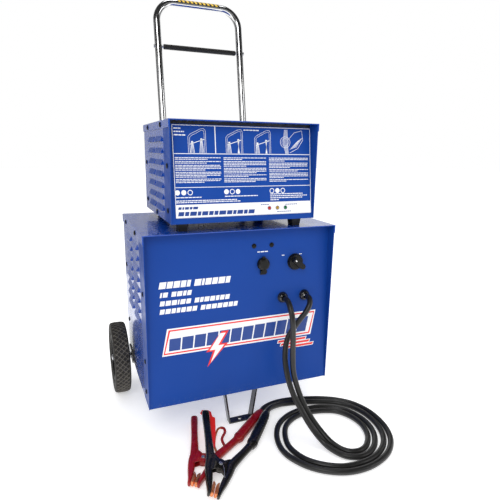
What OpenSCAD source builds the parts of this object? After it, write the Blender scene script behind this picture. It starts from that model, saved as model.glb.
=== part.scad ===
// Wheeled engine starter and battery charger.
// A louvred battery cabinet on two wheels and a strap foot carries a smaller louvred charger box
// on four rubber feet, a bent tube handle, a control panel and two clamp leads.
// Units mm. +X right, +Y back, +Z up, wheels and foot stand on z = 0.

/* [Cabinet] */
// Width over the side panels
cab_w = 480; // [400:560]
// Depth over front edge and rear panel
cab_d = 345; // [300:400]
// Height of the bottom edge above the floor
cab_z0 = 97; // [80:120]
// Height of the top face above the floor
cab_top = 516; // [460:560]
// How far the front panel leans back at the top
cab_lean = 25; // [0:40]
// Top cover flange height
cab_flange = 20; // [10:30]

/* [Charger box] */
// Width over the side panels
box_w = 354; // [300:420]
// Depth over front edge and rear panel
box_d = 316; // [260:340]
// Height of the bottom edge above the floor
box_z0 = 537; // [530:560]
// Height of the top face above the floor
box_top = 759; // [700:800]
// How far the front panel leans back at the top
box_lean = 29; // [0:40]
// Top cover flange height
box_flange = 17; // [10:30]

/* [Sheet metal] */
// Sheet thickness
sheet = 2; // [1:0.5:3]
// Width of the plain strip along each corner of a side
strip = 62; // [40:80]
// Spacing of the louvre rows
louvre_pitch = 26; // [20:32]
// Height of one louvre
louvre_h = 12; // [8:16]
// How far a louvre stands out
louvre_out = 5; // [3:8]

/* [Handle] */
// Tube diameter
tube_d = 20; // [16:25]
// Centre distance of the two uprights
tube_span = 240; // [200:280]
// Depth of the uprights behind the front edge
tube_y = 330; // [325:340]
// Backward lean of the upper handle
rake = 10.6; // [0:0.1:15]
// Height of the top bar centre
handle_top = 1092; // [950:1150]
// Corner radius of the top bar, on the tube centre line
corner_r = 52; // [40:70]

/* [Wheels] */
// Tyre radius
wheel_r = 101.5; // [90:0.5:127]
// Tyre width
tyre_w = 43; // [35:50]
// Axle diameter
axle_d = 12; // [10:16]
// Axle depth behind the front edge
axle_y = 295; // [280:310]

/* [Clamp leads] */
// Lead diameter
lead_d = 14; // [10:18]
// Clamp width across its two cheeks
clamp_w = 15; // [14:20]

/* [Display] */
// Sub-part to draw

/* [Hidden] */
$fn = 48;
eps = 0.01;
front_y = -201.13;      // front edge of both boxes, from the middle of the footprint
sheet_blue = [0.10, 0.25, 0.62];
black = [0.07, 0.07, 0.08];
chrome = [0.80, 0.81, 0.83];
zinc = [0.66, 0.67, 0.70];
clamp_red = [0.62, 0.05, 0.07];
copper = [0.78, 0.42, 0.22];

cab_tilt = atan(cab_lean / (cab_top - cab_z0));
box_tilt = atan(box_lean / (box_top - box_z0));
pan_z = 109;            // underside of the cabinet floor
pan_t = sheet;
tab_lap = 15;           // side sheets reach this far behind the corner strips
wheel_x = 276;          // middle of a wheel
upright_x = tube_span / 2;

socket_pos = [54, 425];     // x and height of the power socket
switch_pos = [142, 424];    // x and height of the rotary switch
grommet_x = [108, 170];
grommet_z = 334.5;
grommet_h = 12.5;
knob_turn = -40;            // resting angle of the knob pointer
socket_r = 16;
cap_pin = [0, -20, 4];      // cap hinge in panel coordinates
light_x = [59, 80, 101];
light_z = 565;

// charger feet and screws
foot_xy = [[-144, 40], [144, 40], [-144, 262], [144, 262]];
foot_len = 26;
strap_bolt_x = 60;
strap_y = 26.5;
strap_w = 21;
handle_bolt_z = [390, 470];

// handle bend
bend_r = 100;
bend_z = 735;
tube_z0 = 350;          // lower end of the uprights
tube_wall = 1.6;
bend_end = [tube_y + bend_r * (1 - cos(rake)), bend_z + bend_r * sin(rake)];
rise = (handle_top - bend_end[1]) / cos(rake);      // along the raked uprights
cross_rise = 223;                                   // crossbar, along the raked uprights

// clamp poses: pivot and turn about X, Y, Z
red_pivot = [-138.4, -101.6, 11.2];
red_turn = [0.5, -0.5, 58.1];
black_pivot = [-113.4, -145.8, 22];
black_turn = [15.7, -6.3, 61.6];
rivet_r = 3;
ear_r = 13.5;           // round cheeks of a moving arm
ear_t = 2.5;
boot_start = [93, -64.6, 0];    // clamp frame
red_boot_turn = -18;
black_boot_turn = -12.9;
boot_len = 125;
boot_r = 11;
braid_route = [[56, -37, 0], [72, -27, 5], [96, -29, 8], [108, -22, 9], [103, -11, 9],
               [80, -9, 7], [48, -14, 4], [30, -24, 0]];

// lead routes, in the frame of the front edge
black_route = [
    [108, -0.8, 335.5], [108, -10, 335], [108, -20, 330], [108, -32, 316], [109, -41, 294],
    [110, -46, 251], [109, -50, 205], [110, -57, 158], [119, -70, 114], [132, -88, 73], [149, -114, 39],
    [166, -146, 15], [179, -172, 8.7], [193, -188, 7.8], [208, -194, 7.7], [225, -194, 7.6],
    [247, -184, 7.6], [273, -155, 7.6], [286, -117, 7.6], [284, -82, 7.6], [269, -51, 7.6],
    [246, -32, 7.6], [202, -19, 7.6], [156, -19, 7.6], [116, -36, 7.6], [90, -62, 7.6],
    [72, -104, 7.6], [70, -139, 7.6], [84, -177, 7.6], [114, -207, 7.6], [154, -227, 7.6],
    [200, -231, 7.6], [245, -222, 7.6], [285, -198, 7.6], [312, -163, 7.6], [325, -119, 7.6],
    [324, -73, 7.6], [308, -33, 7.6], [279, -4, 7.6], [237, 16, 7.6], [193, 30, 7.6],
    [148, 39, 8.2], [117, 35, 12.5], [82, 16, 21], [62, -4, 20.3]];
red_route = [
    [170, -0.8, 335.5], [170, -9, 335], [169, -17, 330], [164, -24, 320], [153, -27, 304],
    [130, -26, 276], [105, -27, 240], [94, -38, 198], [93, -56, 156], [100, -76, 115], [114, -98, 78],
    [130, -122, 43], [148, -148, 17], [160, -173, 9.6], [176, -197, 7.9], [195, -209, 7.6],
    [215, -213, 7.6], [240, -207, 7.6], [270, -186, 7.6], [295, -149, 7.6], [304, -106, 7.6],
    [296, -66, 7.6], [277, -35, 7.6], [246, -14, 7.6], [203, -2, 7.6], [158, -2, 7.6],
    [115, -16, 7.6], [80, -43, 7.6], [57, -82, 7.6], [48, -123, 7.6], [54, -158, 7.6],
    [77, -197, 7.6], [111, -226, 7.6], [152, -244, 7.6], [197, -248, 7.6], [241, -240, 7.6],
    [282, -221, 7.6], [315, -190, 7.6], [335, -151, 7.6], [343, -106, 7.6], [339, -62, 7.6],
    [320, -21, 7.6], [288, 9, 7.6], [248, 30, 7.6], [206, 44, 7.6], [162, 54, 7.8],
    [117, 53, 9.3], [78, 38, 11.9], [55, 18.6, 12]];
lead_rings = 42;
lead_sides = 10;

// ---------------------------------------------------------------- placing
module in_place() {
    translate([0, front_y, 0]) children();
}

function cab_panel_y(z) = sheet + (z - cab_z0) * tan(cab_tilt);
function box_panel_y(z) = sheet + (z - box_z0) * tan(box_tilt);

// +Z points out of the leaning front panel
module on_cab_panel(x, z) {
    translate([x, cab_panel_y(z), z]) rotate([90 - cab_tilt, 0, 0]) children();
}

module on_box_panel(x, z) {
    translate([x, box_panel_y(z), z]) rotate([90 - box_tilt, 0, 0]) children();
}

module both_sides() {
    children();
    mirror([1, 0, 0]) children();
}

// ---------------------------------------------------------------- sheet metal
module front_shell(w, z0, z1, tilt) {
    lean = (z1 - z0) * tan(tilt);
    rotate([90, 0, 90]) translate([0, 0, -w / 2 + sheet]) linear_extrude(w - 2 * sheet)
        polygon([[sheet, z0], [2 * sheet, z0], [2 * sheet + lean, z1], [sheet + lean, z1]]);
    both_sides() translate([-w / 2, 0, z0]) cube([sheet, strip, z1 - z0]);
}

module rear_shell(w, d, z0, z1) {
    translate([-w / 2, d - sheet, z0]) cube([w, sheet, z1 - z0]);
    both_sides() translate([-w / 2, d - strip, z0]) cube([sheet, strip - sheet + eps, z1 - z0]);
}

module cover_shell(w, d, top, flange) {
    translate([-w / 2 - sheet, 0, top - sheet]) cube([w + 2 * sheet, d + sheet, sheet]);
    both_sides() translate([-w / 2 - sheet, 0, top - flange])
        cube([sheet, d + sheet, flange - sheet]);
    translate([-w / 2, d, top - flange]) cube([w, sheet, flange - sheet]);
}

// wedge louvre on the left side, open at its lower edge
module louvre_hood(len) {
    rotate([90, 0, 0]) translate([0, 0, -len]) linear_extrude(len)
        polygon([[0, louvre_h], [-louvre_out, 0], [0, 0]]);
}

module louvre_slot(len) {
    rotate([90, 0, 0]) translate([0, 0, 1.2 - len]) linear_extrude(len - 2.4)
        polygon([[eps, louvre_h - 3], [-louvre_out + 1.5, -eps], [2 * sheet + 1, -eps],
                 [2 * sheet + 1, louvre_h - 3]]);
}

module louvred_side(w, y0, y1, z0, z1, tab_z0, cols, col_len, first_z, rows) {
    difference() {
        union() {
            translate([-w / 2, y0, z0]) cube([sheet, y1 - y0, z1 - z0]);
            translate([-w / 2, 0, tab_z0]) linear_extrude(z1 - tab_z0 - 2)
                polygon([[0, y0], [0, y1], [sheet, y1], [sheet, y1 + tab_lap],
                         [2 * sheet, y1 + tab_lap], [2 * sheet, y0 - tab_lap],
                         [sheet, y0 - tab_lap], [sheet, y0]]);
            for (y = cols, i = [0 : rows - 1])
                translate([-w / 2, y, first_z - i * louvre_pitch]) louvre_hood(col_len);
        }
        for (y = cols, i = [0 : rows - 1])
            translate([-w / 2, y, first_z - i * louvre_pitch]) louvre_slot(col_len);
    }
}

// round-headed screw lying on the left side face
module side_screw(x, y, z, r) {
    translate([x, y, z]) rotate([0, -90, 0]) screw_head(r);
}

module screw_head(r) {
    cylinder(h = 1, r = r, $fn = 20);
    translate([0, 0, 1 - eps]) cylinder(h = 1.6, r1 = r, r2 = r * 0.55, $fn = 20);
}

// ---------------------------------------------------------------- cabinet
module cabinet_base() {
    color(sheet_blue) in_place() difference() {
        translate([-cab_w / 2 + sheet, 5, cab_z0])
            cube([cab_w - 2 * sheet, cab_d - sheet - 5, pan_z + pan_t - cab_z0]);
        translate([-cab_w / 2 + 2 * sheet, 5 + sheet, cab_z0 - 1])
            cube([cab_w - 4 * sheet, cab_d - 3 * sheet - 5, pan_z - cab_z0 + 1]);
        translate([-cab_w, axle_y, wheel_r]) rotate([0, 90, 0])
            cylinder(h = 2 * cab_w, r = axle_d / 2 + 0.2);
        both_sides() translate([strap_bolt_x, strap_y, pan_z - 1]) cylinder(h = 6, r = 4.1);
    }
}

module cabinet_front() {
    color(sheet_blue) in_place() difference() {
        front_shell(cab_w, cab_z0, cab_top - sheet, cab_tilt);
        on_cab_panel(socket_pos[0], socket_pos[1]) translate([0, 0, -9]) cylinder(h = 18, r = 13.7);
        on_cab_panel(switch_pos[0], switch_pos[1]) translate([0, 0, -9]) cylinder(h = 18, r = 6);
        for (x = grommet_x) on_cab_panel(x, grommet_z) translate([0, 0, -9]) cylinder(h = 18, r = 9);
    }
}

module cabinet_rear() {
    color(sheet_blue) in_place() difference() {
        rear_shell(cab_w, cab_d, cab_z0, cab_top - sheet);
        translate([-cab_w, axle_y, wheel_r]) rotate([0, 90, 0])
            cylinder(h = 2 * cab_w, r = axle_d / 2 + 0.2);
        both_sides() for (z = handle_bolt_z)
            translate([upright_x, cab_d - 5, z]) rotate([-90, 0, 0]) cylinder(h = 10, r = 4);
        both_sides() for (i = [0 : 5])
            translate([-190, cab_d - 5, 180 + 16 * i]) cube([110, 10, 5]);
    }
}

module cabinet_left_side() {
    color(sheet_blue) in_place() cab_side();
}

module cabinet_right_side() {
    color(sheet_blue) in_place() mirror([1, 0, 0]) cab_side();
}

module cab_side() {
    louvred_side(cab_w, strip + 1, cab_d - strip - 1, cab_z0, cab_top - sheet,
                 pan_z + pan_t + 1, [80, 186], 78, 468, 8);
}

module cabinet_cover() {
    color(sheet_blue) in_place() difference() {
        cover_shell(cab_w, cab_d, cab_top, cab_flange);
        both_sides() translate([upright_x, tube_y, cab_top - 9])
            cylinder(h = 18, r = tube_d / 2 + 0.3);
    }
}

module cabinet_fasteners() {
    color(black) in_place() {
        both_sides() {
            for (y = [104, 270]) side_screw(-cab_w / 2 - sheet, y, 504, 6);
            for (z = [129, 208, 375]) side_screw(-cab_w / 2, 31, z, 6);
            for (z = [208, 375]) side_screw(-cab_w / 2, cab_d - 31, z, 6);
            for (z = handle_bolt_z) handle_bolt(z);
            strap_bolt();
        }
        for (x = [30, 77]) on_cab_panel(x, 471) screw_head(6);
    }
}

module handle_bolt(z) {
    translate([upright_x, cab_d, z]) rotate([-90, 0, 0]) cylinder(h = 5, r = 6.5, $fn = 24);
    translate([upright_x, tube_y - tube_d / 2 - 3, z]) rotate([-90, 0, 0])
        cylinder(h = cab_d - tube_y + tube_d / 2 + 3 + eps, r = 3.9);
}

module strap_bolt() {
    translate([strap_bolt_x, strap_y, 100]) cylinder(h = 5, r = 6.5, $fn = 24);
    translate([strap_bolt_x, strap_y, 105 - eps]) cylinder(h = 9, r = 4);
}

// ---------------------------------------------------------------- batteries
module battery(x) {
    translate([x - 86, 40, pan_z + pan_t]) cube([172, 265, 196]);
    for (s = [-1, 1]) translate([x + s * 50, 80, pan_z + pan_t + 196 - eps])
        cylinder(h = 14, r = 9, $fn = 24);
}

module battery_left() {
    color(black) in_place() battery(-92);
}

module battery_right() {
    color(black) in_place() battery(92);
}

module battery_clamp_bar() {
    color(zinc) in_place() {
        translate([-185, 170, pan_z + pan_t + 196]) cube([370, 24, 4]);
        translate([0, 182, pan_z + pan_t]) cylinder(h = 208, r = 4, $fn = 24);
    }
}

// ---------------------------------------------------------------- foot and axle
module foot_strap() {
    color(black) in_place() difference() {
        translate([0, strap_y + strap_w / 2, 0]) rotate([90, 0, 0]) linear_extrude(strap_w)
            polygon([[-72, 109], [-44, 109], [-28.5, 4], [28.5, 4], [44, 109], [72, 109],
                     [72, 105], [47.6, 105], [32, 0], [-32, 0], [-47.6, 105], [-72, 105]]);
        translate([0, strap_y, -5]) cylinder(h = 20, r = 4.75);
        both_sides() translate([strap_bolt_x, strap_y, 100]) cylinder(h = 20, r = 4.1);
    }
}

module axle() {
    color(zinc) in_place() {
        translate([-295, axle_y, wheel_r]) rotate([0, 90, 0]) cylinder(h = 590, r = axle_d / 2);
        both_sides() translate([243, axle_y, wheel_r]) rotate([0, 90, 0])
            cylinder(h = 12.7, r = 9);
    }
}

module axle_plate() {
    difference() {
        translate([240, 262, cab_z0 - 7]) cube([3, 66, 32]);
        translate([230, axle_y, wheel_r]) rotate([0, 90, 0]) cylinder(h = 20, r = axle_d / 2);
    }
}

module axle_plate_left() {
    color(black) in_place() mirror([1, 0, 0]) axle_plate();
}

module axle_plate_right() {
    color(black) in_place() axle_plate();
}

// ---------------------------------------------------------------- wheels
module rim() {
    translate([wheel_x, axle_y, wheel_r]) rotate([0, 90, 0]) rotate_extrude() difference() {
        union() {
            translate([0, -20]) square([16, 34]);
            translate([14, -4]) square([50, 7]);
            translate([60, -18]) square([8, 36]);
        }
        translate([0, -30]) square([axle_d / 2 + 0.06, 60]);
    }
}

module tyre() {
    translate([wheel_x, axle_y, wheel_r]) rotate([0, 90, 0]) rotate_extrude($fn = 64)
        polygon([[68, -15], [72, -19.5], [82, -21], [94, -tyre_w / 2], [99.5, -18.5],
                 [wheel_r, -13], [wheel_r, -6], [wheel_r - 2, -4.5], [wheel_r - 2, -2.5],
                 [wheel_r, -1], [wheel_r, 1], [wheel_r - 2, 2.5], [wheel_r - 2, 4.5],
                 [wheel_r, 6], [wheel_r, 13], [99.5, 18.5], [94, tyre_w / 2], [82, 21],
                 [72, 19.5], [68, 15]]);
}

module hub_nut() {
    translate([290.4, axle_y, wheel_r]) rotate([0, 90, 0]) difference() {
        union() {
            cylinder(h = 5, r = 8.5, $fn = 24);
            translate([0, 0, 5 - eps]) cylinder(h = 2, r1 = 7.5, r2 = 5, $fn = 24);
        }
        translate([0, 0, -1]) cylinder(h = 5.6, r = axle_d / 2);
    }
}

module left_rim() {
    color(black) in_place() mirror([1, 0, 0]) rim();
}

module left_tyre() {
    color([0.13, 0.12, 0.11]) in_place() mirror([1, 0, 0]) tyre();
}

module left_hub_nut() {
    color(zinc) in_place() mirror([1, 0, 0]) hub_nut();
}

module right_rim() {
    color(black) in_place() rim();
}

module right_tyre() {
    color([0.13, 0.12, 0.11]) in_place() tyre();
}

module right_hub_nut() {
    color(zinc) in_place() hub_nut();
}

// ---------------------------------------------------------------- control panel
module grommet(x) {
    on_cab_panel(x, grommet_z) rotate_extrude()
        polygon([[0, -6], [8.9, -6], [8.9, 0], [14, 0], [14.2, 3], [13.4, 6], [11.6, 9.2],
                 [9.6, 11.4], [7.6, grommet_h], [0, grommet_h]]);
}

module lead_grommet_left() {
    color(black) in_place() grommet(grommet_x[0]);
}

module lead_grommet_right() {
    color(black) in_place() grommet(grommet_x[1]);
}

module socket_body() {
    color(black) in_place() on_cab_panel(socket_pos[0], socket_pos[1]) {
        difference() {
            union() {
                cylinder(h = 3, r = socket_r);
                translate([0, 0, -44]) cylinder(h = 45, r = 13.5);
                translate([-8, -27, 0]) cube([16, 13, 1]);
                for (s = [-1, 1]) translate([s * 6.5 - 1.5, -23, 0]) cube([3, 7, 6.5]);
            }
            translate([0, 0, -40]) cylinder(h = 50, r = 10.5);
        }
        translate([-6, cap_pin[1], cap_pin[2]]) rotate([0, 90, 0]) cylinder(h = 12, r = 1.5);
    }
}

module socket_cap() {
    color(black) in_place() on_cab_panel(socket_pos[0], socket_pos[1]) difference() {
        union() {
            translate([0, 0, 3.2]) cylinder(h = 4.5, r = 15);
            translate([0, 0, 7.7 - eps]) cylinder(h = 2, r1 = 15, r2 = 11);
            translate([-4, 12, 3.2]) cube([8, 7, 4]);
            translate([-4.5, cap_pin[1], 3.2]) cube([9, 8, 3.6]);
            translate([-4.5, cap_pin[1], cap_pin[2]]) rotate([0, 90, 0]) cylinder(h = 9, r = 2.9);
        }
        translate([-9, cap_pin[1], cap_pin[2]]) rotate([0, 90, 0]) cylinder(h = 18, r = 1.56);
    }
}

module switch_plate() {
    color(black) in_place() on_cab_panel(switch_pos[0], switch_pos[1]) difference() {
        cylinder(h = 2, r = 21);
        translate([0, 0, -1]) cylinder(h = 5, r = 5);
    }
}

module switch_body() {
    color([0.18, 0.18, 0.2]) in_place() on_cab_panel(switch_pos[0], switch_pos[1]) {
        translate([0, 0, -42.4]) cylinder(h = 40, r = 24);
        translate([0, 0, -3]) cylinder(h = 17, r = 4);
    }
}

module switch_knob() {
    color(black) in_place() on_cab_panel(switch_pos[0], switch_pos[1]) difference() {
        union() {
            translate([0, 0, 2.3]) cylinder(h = 7, r1 = 20, r2 = 18.5);
            rotate([0, 0, knob_turn]) {
                translate([-14, -7, 9.2]) cube([32, 14, 12]);
                translate([17, 0, 9.2]) cylinder(h = 12, r = 7);
            }
        }
        translate([0, 0, 0]) cylinder(h = 14.3, r = 4.05);
    }
}

// ---------------------------------------------------------------- handle
module upright_core(d) {
    translate([upright_x, tube_y, tube_z0]) cylinder(h = bend_z - tube_z0, d = d);
    translate([upright_x, tube_y + bend_r, bend_z]) rotate([90, 0, -90])
        rotate_extrude(angle = rake, $fn = 96) translate([bend_r, 0]) circle(d = d);
}

module hoop_core(d) {
    translate([0, 0, rise]) rotate([0, 90, 0])
        translate([0, 0, -upright_x + corner_r]) cylinder(h = tube_span - 2 * corner_r, d = d);
    both_sides() {
        translate([-upright_x, 0, 0]) cylinder(h = rise - corner_r, d = d);
        translate([-upright_x + corner_r, 0, rise - corner_r]) rotate([90, 0, 180])
            rotate_extrude(angle = 90) translate([corner_r, 0]) circle(d = d);
    }
}

module on_handle() {
    translate([0, bend_end[0], bend_end[1]]) rotate([-rake, 0, 0]) children();
}

module handle_upright() {
    difference() {
        upright_core(tube_d);
        upright_core(tube_d - 2 * tube_wall);
        for (z = handle_bolt_z)
            translate([upright_x, tube_y - 30, z]) rotate([-90, 0, 0]) cylinder(h = 60, r = 4);
    }
}

module handle_upright_left() {
    color(chrome) in_place() mirror([1, 0, 0]) handle_upright();
}

module handle_upright_right() {
    color(chrome) in_place() handle_upright();
}

module handle_hoop() {
    color(chrome) in_place() on_handle() difference() {
        hoop_core(tube_d);
        hoop_core(tube_d - 2 * tube_wall);
        translate([-200, 0, cross_rise]) rotate([0, 90, 0]) cylinder(h = 400, r = 4);
    }
}

module handle_tape() {
    color([0.85, 0.70, 0.10]) in_place() on_handle()
        translate([0, 0, rise]) rotate([0, 90, 0]) translate([0, 0, -61]) linear_extrude(122)
            difference() {
                circle(d = tube_d + 2.4);
                circle(d = tube_d);
                translate([3, -20]) square([40, 40]);
            }
}

module crossbar_rod() {
    color(zinc) in_place() on_handle() translate([0, 0, cross_rise]) rotate([0, 90, 0]) {
        translate([0, 0, -upright_x - 11]) cylinder(h = 2 * upright_x + 22, r = 3.9);
        translate([0, 0, -upright_x - 12.2]) cylinder(h = 2.2, r = 5);
        translate([0, 0, upright_x + 10]) cylinder(h = 2.2, r = 5);
    }
}

module crossbar_sleeve() {
    color(black) in_place() on_handle() translate([-106, 0, cross_rise]) rotate([0, 90, 0])
        difference() {
            cylinder(h = 212, r = 6.8);
            translate([0, 0, -1]) cylinder(h = 214, r = 3.9);
        }
}

// ---------------------------------------------------------------- charger box
module charger_base() {
    color(sheet_blue) in_place() {
        translate([-box_w / 2 + sheet, 5, box_z0]) cube([box_w - 2 * sheet, box_d - sheet - 5, sheet]);
        both_sides() translate([-box_w / 2 + sheet, 8, box_z0])
            cube([sheet, box_d - 20, 14]);
    }
}

module charger_front() {
    color(sheet_blue) in_place() difference() {
        front_shell(box_w, box_z0, box_top - sheet, box_tilt);
        for (x = light_x) on_box_panel(x, light_z) translate([0, 0, -9])
            cylinder(h = 18, r = 2.6, $fn = 24);
    }
}

module charger_rear() {
    color(sheet_blue) in_place() difference() {
        rear_shell(box_w, box_d, box_z0, box_top - sheet);
        translate([-14, box_d - 9, 586]) cube([28, 18, 20]);
        for (i = [0 : 5]) translate([-60, box_d - 5, 650 + 14 * i]) cube([120, 10, 5]);
    }
}

module box_side() {
    louvred_side(box_w, strip + 1, box_d - strip - 1, box_z0, box_top - sheet,
                 box_z0 + 15, [76, 164], 76, 714, 7);
}

module charger_left_side() {
    color(sheet_blue) in_place() box_side();
}

module charger_right_side() {
    color(sheet_blue) in_place() mirror([1, 0, 0]) box_side();
}

module charger_cover() {
    color(sheet_blue) in_place() cover_shell(box_w, box_d, box_top, box_flange);
}

module charger_fasteners() {
    color(black) in_place() both_sides() {
        for (y = [84, 246]) side_screw(-box_w / 2 - sheet, y, 750, 6);
        for (z = [564, 662]) {
            side_screw(-box_w / 2, 29, z, 6);
            side_screw(-box_w / 2, box_d - 29, z, 6);
        }
        side_screw(-box_w / 2, 158, 545, 6);
    }
}

module charger_feet() {
    color(black) in_place() for (p = foot_xy)
        translate([p[0], p[1] + foot_len / 2, cab_top]) rotate([90, 0, 0]) linear_extrude(foot_len)
            polygon([[-9, 0], [9, 0], [13, box_z0 - cab_top], [-13, box_z0 - cab_top]]);
}

module label_plate() {
    color([0.12, 0.28, 0.66]) in_place() on_box_panel(2, box_z0 + 112) difference() {
        translate([-168, -101, 0]) cube([336, 202, 0.8]);
        for (x = light_x) translate([x - 2, (light_z - box_z0 - 112) / cos(box_tilt), -3])
            cylinder(h = 6, r = 2.6, $fn = 24);
    }
}

module status_lights() {
    color([0.9, 0.3, 0.2]) in_place() for (x = light_x) on_box_panel(x, light_z) {
        translate([0, 0, -5]) cylinder(h = 7, r = 2.5, $fn = 24);
        translate([0, 0, 2 - eps]) cylinder(h = 1.3, r1 = 2.5, r2 = 1.4, $fn = 24);
    }
}

module transformer() {
    color([0.35, 0.33, 0.32]) in_place() {
        translate([-120, 110, box_z0 + sheet]) cube([110, 100, 96]);
        translate([-98, 96, box_z0 + sheet + 20]) cube([66, 14 + eps, 56]);
        translate([-98, 210 - eps, box_z0 + sheet + 20]) cube([66, 14, 56]);
    }
}

module heat_sink() {
    color([0.7, 0.71, 0.73]) in_place() {
        translate([30, 110, box_z0 + sheet]) cube([100, 120, 8]);
        for (i = [0 : 6]) translate([30 + 16 * i, 110, box_z0 + sheet + 8 - eps])
            cube([4, 120, 42]);
    }
}

module mains_inlet() {
    color(black) in_place() {
        difference() {
            union() {
                translate([-25, box_d, 581]) cube([50, 3, 30]);
                translate([-13.8, box_d - 18, 586.2]) cube([27.6, 18 + eps, 19.6]);
            }
            translate([-12, box_d - 15, 588]) cube([24, 30, 16]);
        }
        for (x = [-7, 0, 7]) translate([x - 1, box_d - 16, 595]) cube([2, 14, 4]);
    }
}

// ---------------------------------------------------------------- leads
function span_at(a, b, c, d, t) =
    0.5 * ((2 * b) + (c - a) * t + (2 * a - 5 * b + 4 * c - d) * t * t
    + (3 * b - a - 3 * c + d) * t * t * t);

function route_at(p, s) =
    let (n = len(p) - 1, i = min(floor(s), n - 1), t = s - i)
    span_at(i > 0 ? p[i - 1] : 2 * p[0] - p[1], p[i], p[i + 1],
            i + 2 <= n ? p[i + 2] : 2 * p[n] - p[n - 1], t);

function unit(v) = v / norm(v);

// side vectors carried along the route without twist
function carried(t, side) = unit(side - (side * t) * t);

function side_vectors(t, i, side) =
    i == len(t) ? [] :
    let (s = carried(t[i], side)) concat([s], side_vectors(t, i + 1, s));

module swept(route, r, rings, sides) {
    n = len(route) - 1;
    c = [for (i = [0 : rings - 1]) route_at(route, i * n / (rings - 1))];
    t = [for (i = [0 : rings - 1])
        i == 0 ? unit(c[1] - c[0]) :
        i == rings - 1 ? unit(c[i] - c[i - 1]) : unit(unit(c[i + 1] - c[i]) + unit(c[i] - c[i - 1]))];
    s = side_vectors(t, 0, [1, 0.2, 0.1]);
    pts = [for (i = [0 : rings - 1], k = [0 : sides - 1])
        let (a = 360 * k / sides) c[i] + r * (cos(a) * s[i] + sin(a) * cross(t[i], s[i]))];
    walls = [for (i = [0 : rings - 2], k = [0 : sides - 1])
        [i * sides + k, (i + 1) * sides + k,
         (i + 1) * sides + (k + 1) % sides, i * sides + (k + 1) % sides]];
    ends = [[for (k = [0 : sides - 1]) k],
            [for (k = [sides - 1 : -1 : 0]) (rings - 1) * sides + k]];
    polyhedron(points = pts, faces = concat(walls, ends), convexity = 6);
}

module black_lead() {
    color(black) in_place() swept(black_route, lead_d / 2, lead_rings, lead_sides);
}

module red_lead() {
    color(black) in_place() swept(red_route, lead_d / 2, lead_rings, lead_sides);
}

// ---------------------------------------------------------------- clamps
// clamp frame: pivot at the origin, +X between the handles, +Y the moving handle, +Z the rivet
module in_red() {
    in_place() translate(red_pivot) rotate(red_turn) children();
}

module in_black() {
    in_place() translate(black_pivot) rotate(black_turn) children();
}

module cheeks(h, r) {
    for (s = [0, 1]) mirror([0, 0, s]) translate([0, 0, clamp_w / 2 - h]) cylinder(h = h, r = r);
}

module flat_bar(points, w) {
    translate([0, 0, -w / 2]) linear_extrude(w) polygon(points);
}

module moving_arm() {
    difference() {
        union() {
            flat_bar([[-76, 7], [-78, 10], [-75, 14], [-40, 24], [-10, 31], [12, 34], [40, 41],
                      [144, 72], [151, 70], [153, 63], [149, 56], [60, 29.5], [24, 16], [14, 13],
                      [-14, 13], [-30, 11], [-44, 7]], clamp_w);
            flat_bar([[-13, 3], [13, 3], [20, 18], [-20, 18]], clamp_w);
            cheeks(ear_t, ear_r);
        }
        cylinder(h = clamp_w - 2 * ear_t + 0.2, r = ear_r + 1, center = true);
        cylinder(h = 2 * clamp_w, r = rivet_r + 0.05, center = true);
    }
}

module fixed_arm(boot_turn) {
    difference() {
        union() {
            flat_bar([[-76, -7], [-78, -10], [-75, -14], [-40, -24], [-10, -31], [12, -37],
                      [60, -58], [104, -76], [97, -58], [60, -40.5], [24, -22], [14, -13],
                      [-14, -13], [-30, -11], [-44, -7]], clamp_w);
            flat_bar([[-13, 0], [13, 0], [20, -18], [-20, -18]], clamp_w - 2 * ear_t - 0.2);
            cylinder(h = clamp_w - 2 * ear_t - 0.2, r = ear_r, center = true);
            translate(boot_start) rotate([0, 0, boot_turn]) rotate([0, 90, 0]) boot();
        }
        cheeks(ear_t + 0.1, ear_r + 1);
        cylinder(h = 2 * clamp_w, r = rivet_r, center = true);
    }
}

// rubber sleeve from the arm to the lead, along +Z
module boot() {
    cylinder(h = 6, r1 = 8.5, r2 = boot_r);
    translate([0, 0, 6 - eps]) cylinder(h = boot_len - 20 + 2 * eps, r = boot_r);
    translate([0, 0, boot_len - 14]) cylinder(h = 14, r1 = boot_r, r2 = 8.5);
}

module jaw() {
    flat_bar([[-75, 7], [-76, 2.5], [-73, 0.7], [-70, 2.6], [-67, 0.7], [-64, 2.6], [-61, 0.7],
              [-58, 2.6], [-55, 0.7], [-50, 3], [-46, 7]], clamp_w - 3);
}

module rivet() {
    cylinder(h = clamp_w + 4, r = rivet_r, center = true);
    for (s = [0, 1]) mirror([0, 0, s]) translate([0, 0, clamp_w / 2 + 0.1])
        cylinder(h = 2, r1 = 6, r2 = 4);
}

module red_clamp_fixed_arm() {
    color(clamp_red) in_red() fixed_arm(red_boot_turn);
}

module red_clamp_moving_arm() {
    color(clamp_red) in_red() moving_arm();
}

module red_clamp_fixed_jaw() {
    color(copper) in_red() mirror([0, 1, 0]) jaw();
}

module red_clamp_moving_jaw() {
    color(copper) in_red() jaw();
}

module red_clamp_rivet() {
    color(zinc) in_red() rivet();
}

module red_clamp_braid() {
    color(copper) in_red() swept(braid_route, 2.6, 20, 8);
}

module black_clamp_fixed_arm() {
    color(black) in_black() fixed_arm(black_boot_turn);
}

module black_clamp_moving_arm() {
    color(black) in_black() moving_arm();
}

module black_clamp_fixed_jaw() {
    color(copper) in_black() mirror([0, 1, 0]) jaw();
}

module black_clamp_moving_jaw() {
    color(copper) in_black() jaw();
}

module black_clamp_rivet() {
    color(zinc) in_black() rivet();
}

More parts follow.
